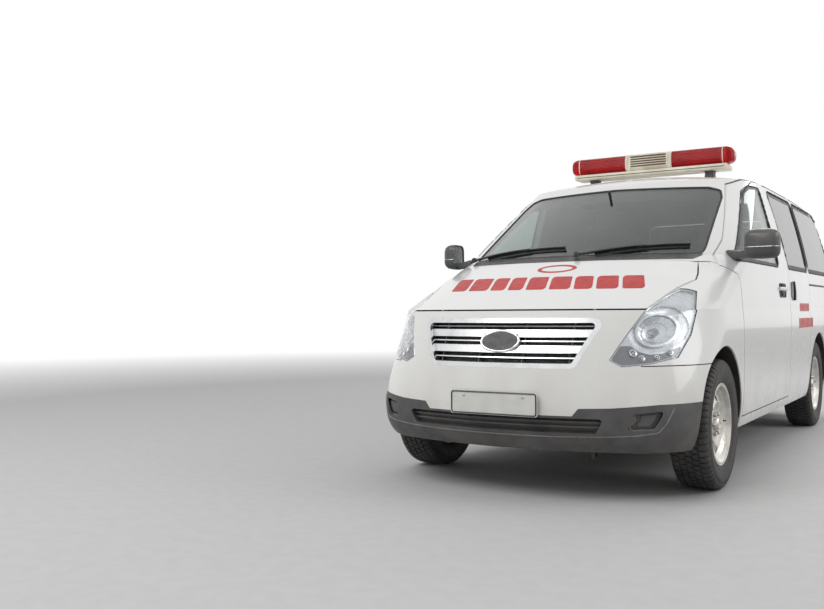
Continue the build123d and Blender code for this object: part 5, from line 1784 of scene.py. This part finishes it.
def makeSeats():
    bases, posts = [], []
    for side, word in bothSides:
        x = side * cabin["seatX"]
        shift = (x, 0, 0)
        for title, rows in seatPads:
            makePad(title + "_" + word, title, rows, seatCloth, "seat_cloth", shift)
        cushion = seatPads[0][1]
        rims = [padRing(cushion[index], shift, cabin["pipingGrowth"]) for index in (3, 1)]
        piping = [bead("piping", rim, cabin["piping"], seatSide, True, spacing=0.012) for rim in rims]
        finishPiece("seat_piping_" + word, joined("piping", piping), seatSide, "van", "seat_cloth")
        bases.append(boxMesh("base", (x - 0.165, -0.555, 0.551), (x + 0.165, -0.145, 0.738), 0.012, 3))
        for start in (x - 0.16, x + 0.12):
            bases.append(boxMesh("track", (start, -0.6, 0.551), (start + 0.04, -0.12, 0.585), 0.006))
        near, far = x - side * 0.238, x - side * 0.246
        bases.append(boxMesh("shield", (near, -0.5, 0.742), (far, -0.13, 0.83), 0.003))
        for post in (-0.05, 0.05):
            posts.append(sweepMesh("post", [(x + post, 0.0, 1.37), (x + post, 0.008, 1.45)],
                                   roundSection(0.011, 0.011, 0.5, 3), (0, 1, 0)))
    finishPiece("seat_bases", joined("bases", bases), cabinPlastic, "van", "cabin_plastic", ["front_seats"])
    finishPiece("seat_posts", joined("posts", posts), nutSteel, "van", "bright_trim")
    makePad("bench_cushion", "bench_cushion", benchPad, benchVinyl, "bench_vinyl")
    box = boxMesh("box", (0.424, 0.334, 0.551), (0.856, 1.056, 0.85), 0.014, 3)
    lids = [boxMesh("door", (0.4205, y, 0.6), (0.4265, y + 0.32, 0.82), 0.002) for y in (0.36, 0.71)]
    finishPiece("bench_box", joined("benchBox", [box] + lids), cabinPale, "van", "cabin_plastic",
                ["rear_bench"])


def makeSteeringWheel():
    centre = Vector((-cabin["seatX"], *cabin["wheelCentre"]))
    axis = Vector(cabin["wheelAxis"]).normalized()
    across = Vector((1, 0, 0))
    up = axis.cross(across)
    path = [centre + (across * c + up * s) * cabin["wheelRadius"] for c, s in roundTurn(72)]
    parts = [bead("grip", path, cabin["grip"], blackTrim, True, 16, 0.012)]
    turn = Matrix((across, up, axis)).transposed().to_4x4()
    for angle in cabin["spokeTurns"]:
        reach = Vector((math.cos(math.radians(angle)), math.sin(math.radians(angle)), 0))
        spoke = [turn @ (reach * stop + Vector((0, 0, -0.002))) for stop, width in cabin["spoke"]]
        sections = [roundSection(width, 0.016, 0.5, 2) for stop, width in cabin["spoke"]]
        parts.append(moved(sweepMesh("spoke", spoke, sections, tuple(axis)), Matrix.Translation(centre)))
    parts.append(placed(latheX("hub", cabin["hub"], 48), centre, axis))
    shroud = [centre - axis * reach for reach, wide, tall in cabin["shroud"]]
    sections = [roundSection(wide, tall, 0.5, 3) for reach, wide, tall in cabin["shroud"]]
    parts.append(sweepMesh("shroud", shroud, sections))
    finishPiece("wheel_and_column", joined("wheelParts", parts), blackTrim, "van", "cabin_plastic",
                ["steering_wheel"])


def makeDash():
    start, end = cabin["podEnds"]
    hood = []
    for step in range(13):
        x, bow = start + (end - start) * step / 12, math.sin(math.pi * step / 12)
        hood.append([Vector((x, y, z + rise * bow)) for y, z, rise in cabin["pod"]])
    lever = sweepMesh("lever", [(0, -1.15, 0.955), (0, -1.13, 1.02), (0, -1.115, 1.05)],
                      [roundSection(0.03, 0.03, 0.5, 2), roundSection(0.018, 0.018, 0.5, 2),
                       roundSection(0.032, 0.04, 0.5, 3)], (0, 1, 0))
    radio = boxMesh("radio", (-0.09, -1.02, 1.02), (0.09, -0.998, 1.075), 0.004)
    parts = [ringsMesh("pod", hood), radio, lever]
    for x in cabin["vents"]:
        parts.append(boxMesh("vent", (x - 0.05, -1.014, 1.165), (x + 0.05, -0.992, 1.222), 0.004))
        for i in range(4):
            low = 1.174 + i * 0.0125
            parts.append(boxMesh("blade", (x - 0.043, -0.996, low), (x + 0.043, -0.987, low + 0.003), 0.001))
    for x in cabin["knobs"]:
        parts.append(placed(latheX("knob", cabin["knob"], 24), (x, -1.012, 0.985), (0, 1, 0)))
    finishPiece("dash_details", joined("dashDetails", parts), blackTrim, "van", "cabin_plastic", bevel=0.0006)


makeSeats()
makeSteeringWheel()
makeDash()
print("interior made")

# Arch liners, headliner, tail and roof details

extras = {
    "axles": (-1.682, 1.518),
    "wheelHeight": 0.353,
    "liner": (0.4236, 0.4206),
    "linerSteps": 60,
    # Start and sweep in degrees, clearance to the panel's edge around and across, widest place
    "linerTurn": (-1, 182),
    "linerGaps": (0.009, 0.006),
    "linerWidest": 0.95,
    "linerInner": 0.72,
    "lining": [(-0.62, -0.55), (0.62, -0.55), (0.64, 2.2), (-0.64, 2.2)],
    # Lamp zones: name, finish, slot, lower and upper end
    "zones": [("amber", amberLens, "red_lens", 0.93, 1.02), ("clear", whiteLens, "lamp_lens", 0.832, 0.918)],
    "zoneEnds": (0.81, 0.9),
    "stopLamp": (-0.17, 1.762, 0.17, 1.79),
    "garnish": [(-0.32, 0.762), (0.32, 0.762), (0.31, 0.815), (-0.31, 0.815)],
    "reflectors": (0.71, 0.384, 0.85, 0.416),
    "drip": (0.79, -0.5, 2.32),
    # Rear wiper: places across and up
    "arm": ((0.0, 1.262), (0.06, 1.285), (0.16, 1.32), (0.26, 1.352)),
    "blade": ((0.02, 1.305), (0.15, 1.333), (0.3, 1.366), (0.4, 1.388)),
    "boss": [(-0.004, 0), (-0.004, 0.02), (0.012, 0.018), (0.017, 0.013), (0.019, 0)],
}


def makeLiners():
    strips = []
    outer, inner = extras["liner"]
    foot, height = extras["linerInner"], extras["wheelHeight"]
    around, across = extras["linerGaps"]
    start, sweep = extras["linerTurn"]
    for axle in extras["axles"]:
        for side in (1, -1):
            place = onSide(side)
            rings = []
            for step in range(extras["linerSteps"] + 1):
                turn = math.radians(start + sweep * step / extras["linerSteps"])
                y, z = math.cos(turn), math.sin(turn)
                spot = place(axle + y * (outer + around), height + z * (outer + around))[0]
                edge = min(abs(spot.x) - across, extras["linerWidest"])
                rings.append([Vector((side * x, axle + y * radius, height + z * radius)) for radius, x in
                              ((outer, foot), (outer, edge), (inner, edge), (inner, foot))])
            strips.append(ringsMesh("strip", rings))
    finishPiece("arch_liners", joined("liners", strips), underseal, "van", "underseal")


def makeHeadliner():
    shell = skinOf("body_shell")
    lining = patchMesh("lining", [softLoop(extras["lining"], 0.06, 0.04)],
                       lambda x, y: castOn(shell, (x, y, 1.3), (0, 0, 1)), 0.006, 0.004, 0.08)
    finishPiece("headliner", lining, liningCloth, "van", "cabin_plastic")


# The same plate on both sides of the rear
def twinPlates(name, near, low, far, high, corner, lift, thick):
    loops = [softLoop(boxLoop(side * near, low, side * far, high), corner, 0.01) for side in (1, -1)]
    return joined(name, [patchMesh(name, [loop], onRear, lift, thick, 0.02) for loop in loops])


def makeTail():
    near, far = extras["zoneEnds"]
    for title, finish, slotName, low, high in extras["zones"]:
        zones = twinPlates(title, near, low, far, high, 0.014, 0.0012, 0.002)
        finishPiece("tail_zones_" + title, zones, finish, "van", slotName)
    loop = softLoop(boxLoop(*extras["stopLamp"]), 0.008, 0.01)
    stop = patchMesh("stopLamp", [loop], onRear, 0.004, 0.006, 0.02)
    finishPiece("stop_lamp", stop, redLens, "tailgate", "red_lens", bevel=0.0015)
    garnish = patchMesh("garnish", [softLoop(extras["garnish"], 0.016, 0.012)], onRear, 0.007, 0.01, 0.02)
    finishPiece("gate_garnish", garnish, whitePaint, "tailgate", "paint", bevel=0.0025)
    strips = twinPlates("reflectors", *extras["reflectors"], 0.01, 0.002, 0.004)
    finishPiece("rear_reflectors", strips, redLens, "van", "red_lens", bevel=0.001)
    glass = skinOf("tailgate_window", "tailgate")

    def pane(x, z):
        return onRear(x, z, glass)

    arm = [lifted(pane, x, z, 0.016) for x, z in extras["arm"]]
    blade = [lifted(pane, x, z, 0.009) for x, z in extras["blade"]]
    parts = [sweepMesh("arm", arm, roundSection(0.016, 0.009, 0.5, 2), (0, 1, 0)),
             sweepMesh("blade", blade, roundSection(0.008, 0.012, 0.5, 2), (0, 1, 0)),
             placed(latheX("boss", extras["boss"], 32), *pane(*extras["arm"][0]))]
    finishPiece("rear_wiper", joined("rearWiper", parts), blackTrim, "tailgate")
    x, start, end = extras["drip"]
    places = [start + (end - start) * step / 40 for step in range(41)]
    drips = []
    for side in (1, -1):
        path = [onTop(side * (x - 0.008 * max(0.0, (y - 1.6) / 0.7)), y)[0] + Vector((0, 0, 0.0005))
                for y in places]
        drips.append(bead("drip", path, 0.0045, sealRubber, spacing=0.03))
    finishPiece("roof_strips", joined("drips", drips), sealRubber)


makeLiners()
makeHeadliner()
makeTail()
print("liners, headliner and tail made")

# Floor and light

studio = {
    "floorHalf": 40.0,
    "floorTone": 0.62,
    "fadeStart": 7.0,
    "fadeEnd": 16.0,
    "skyLight": 0.43,
    # Columns: name, place, target, size, watts
    "lamps": [("keyLamp", (-2.5, -8.0, 7.5), (0, -0.8, 0.9), (6.0, 5.0), 380.0),
              ("fillLamp", (7.5, 1.0, 4.5), (0, 0.0, 0.9), (5.0, 4.0), 170.0),
              ("backLamp", (1.0, 6.5, 5.0), (0, 1.0, 0.9), (5.0, 3.0), 130.0)],
}


# Pale floor that fades into the white background far from the van, as the camera sees it
def floorFinish():
    material = plainFinish("floorFinish", (studio["floorTone"],) * 3, 0.75, 0.05)
    tree = material.node_tree
    shader = next(node for node in tree.nodes if node.type == "BSDF_PRINCIPLED")
    output = next(node for node in tree.nodes if node.type == "OUTPUT_MATERIAL")
    place = addNode(tree, "ShaderNodeTexCoord").outputs["Object"]
    reach = addNode(tree, "ShaderNodeVectorMath", {0: place}, operation="LENGTH").outputs["Value"]
    share = mapRange(tree, reach, studio["fadeStart"], studio["fadeEnd"])
    seen = addNode(tree, "ShaderNodeLightPath").outputs["Is Camera Ray"]
    glow = addNode(tree, "ShaderNodeEmission", {"Color": rgb(1, 1, 1), "Strength": 1.0}).outputs[0]
    mixed = addNode(tree, "ShaderNodeMixShader",
                    {0: math2(tree, "MULTIPLY", share, seen), 1: shader.outputs[0], 2: glow})
    tree.links.new(mixed.outputs[0], output.inputs["Surface"])
    return material


def makeFloor():
    half = studio["floorHalf"]
    corners = [(x, y, 0) for x, y in boxLoop(-half, -half, half, half)]
    linkMesh("floor", meshOf("floor", corners, [(0, 1, 2, 3)]), floorFinish())


def makeWorld():
    world = bpy.data.worlds.new("studioWorld")
    world.use_nodes = True
    tree = world.node_tree
    back = tree.nodes["Background"]
    back.inputs["Color"].default_value = rgb(1, 1, 1)
    path = addNode(tree, "ShaderNodeLightPath")
    seen = path.outputs["Is Camera Ray"]
    for kind in ("Is Glossy Ray", "Is Transmission Ray"):
        seen = math2(tree, "MAXIMUM", seen, path.outputs[kind])
    tree.links.new(mapRange(tree, seen, 0, 1, studio["skyLight"], 1.0), back.inputs["Strength"])
    bpy.context.scene.world = world


def makeLamp(name, place, target, size, watts):
    light = bpy.data.lights.new(name, "AREA")
    light.shape = "RECTANGLE"
    light.size, light.size_y = size
    light.energy = watts
    holder = bpy.data.objects.new(name, light)
    aim = (Vector(target) - Vector(place)).to_track_quat("-Z", "Y")
    holder.matrix_world = Matrix.Translation(place) @ aim.to_matrix().to_4x4()
    bpy.context.scene.collection.objects.link(holder)


makeFloor()
makeWorld()
for row in studio["lamps"]:
    makeLamp(*row)
bpy.context.scene.view_settings.view_transform = "Standard"
print("floor and light made")
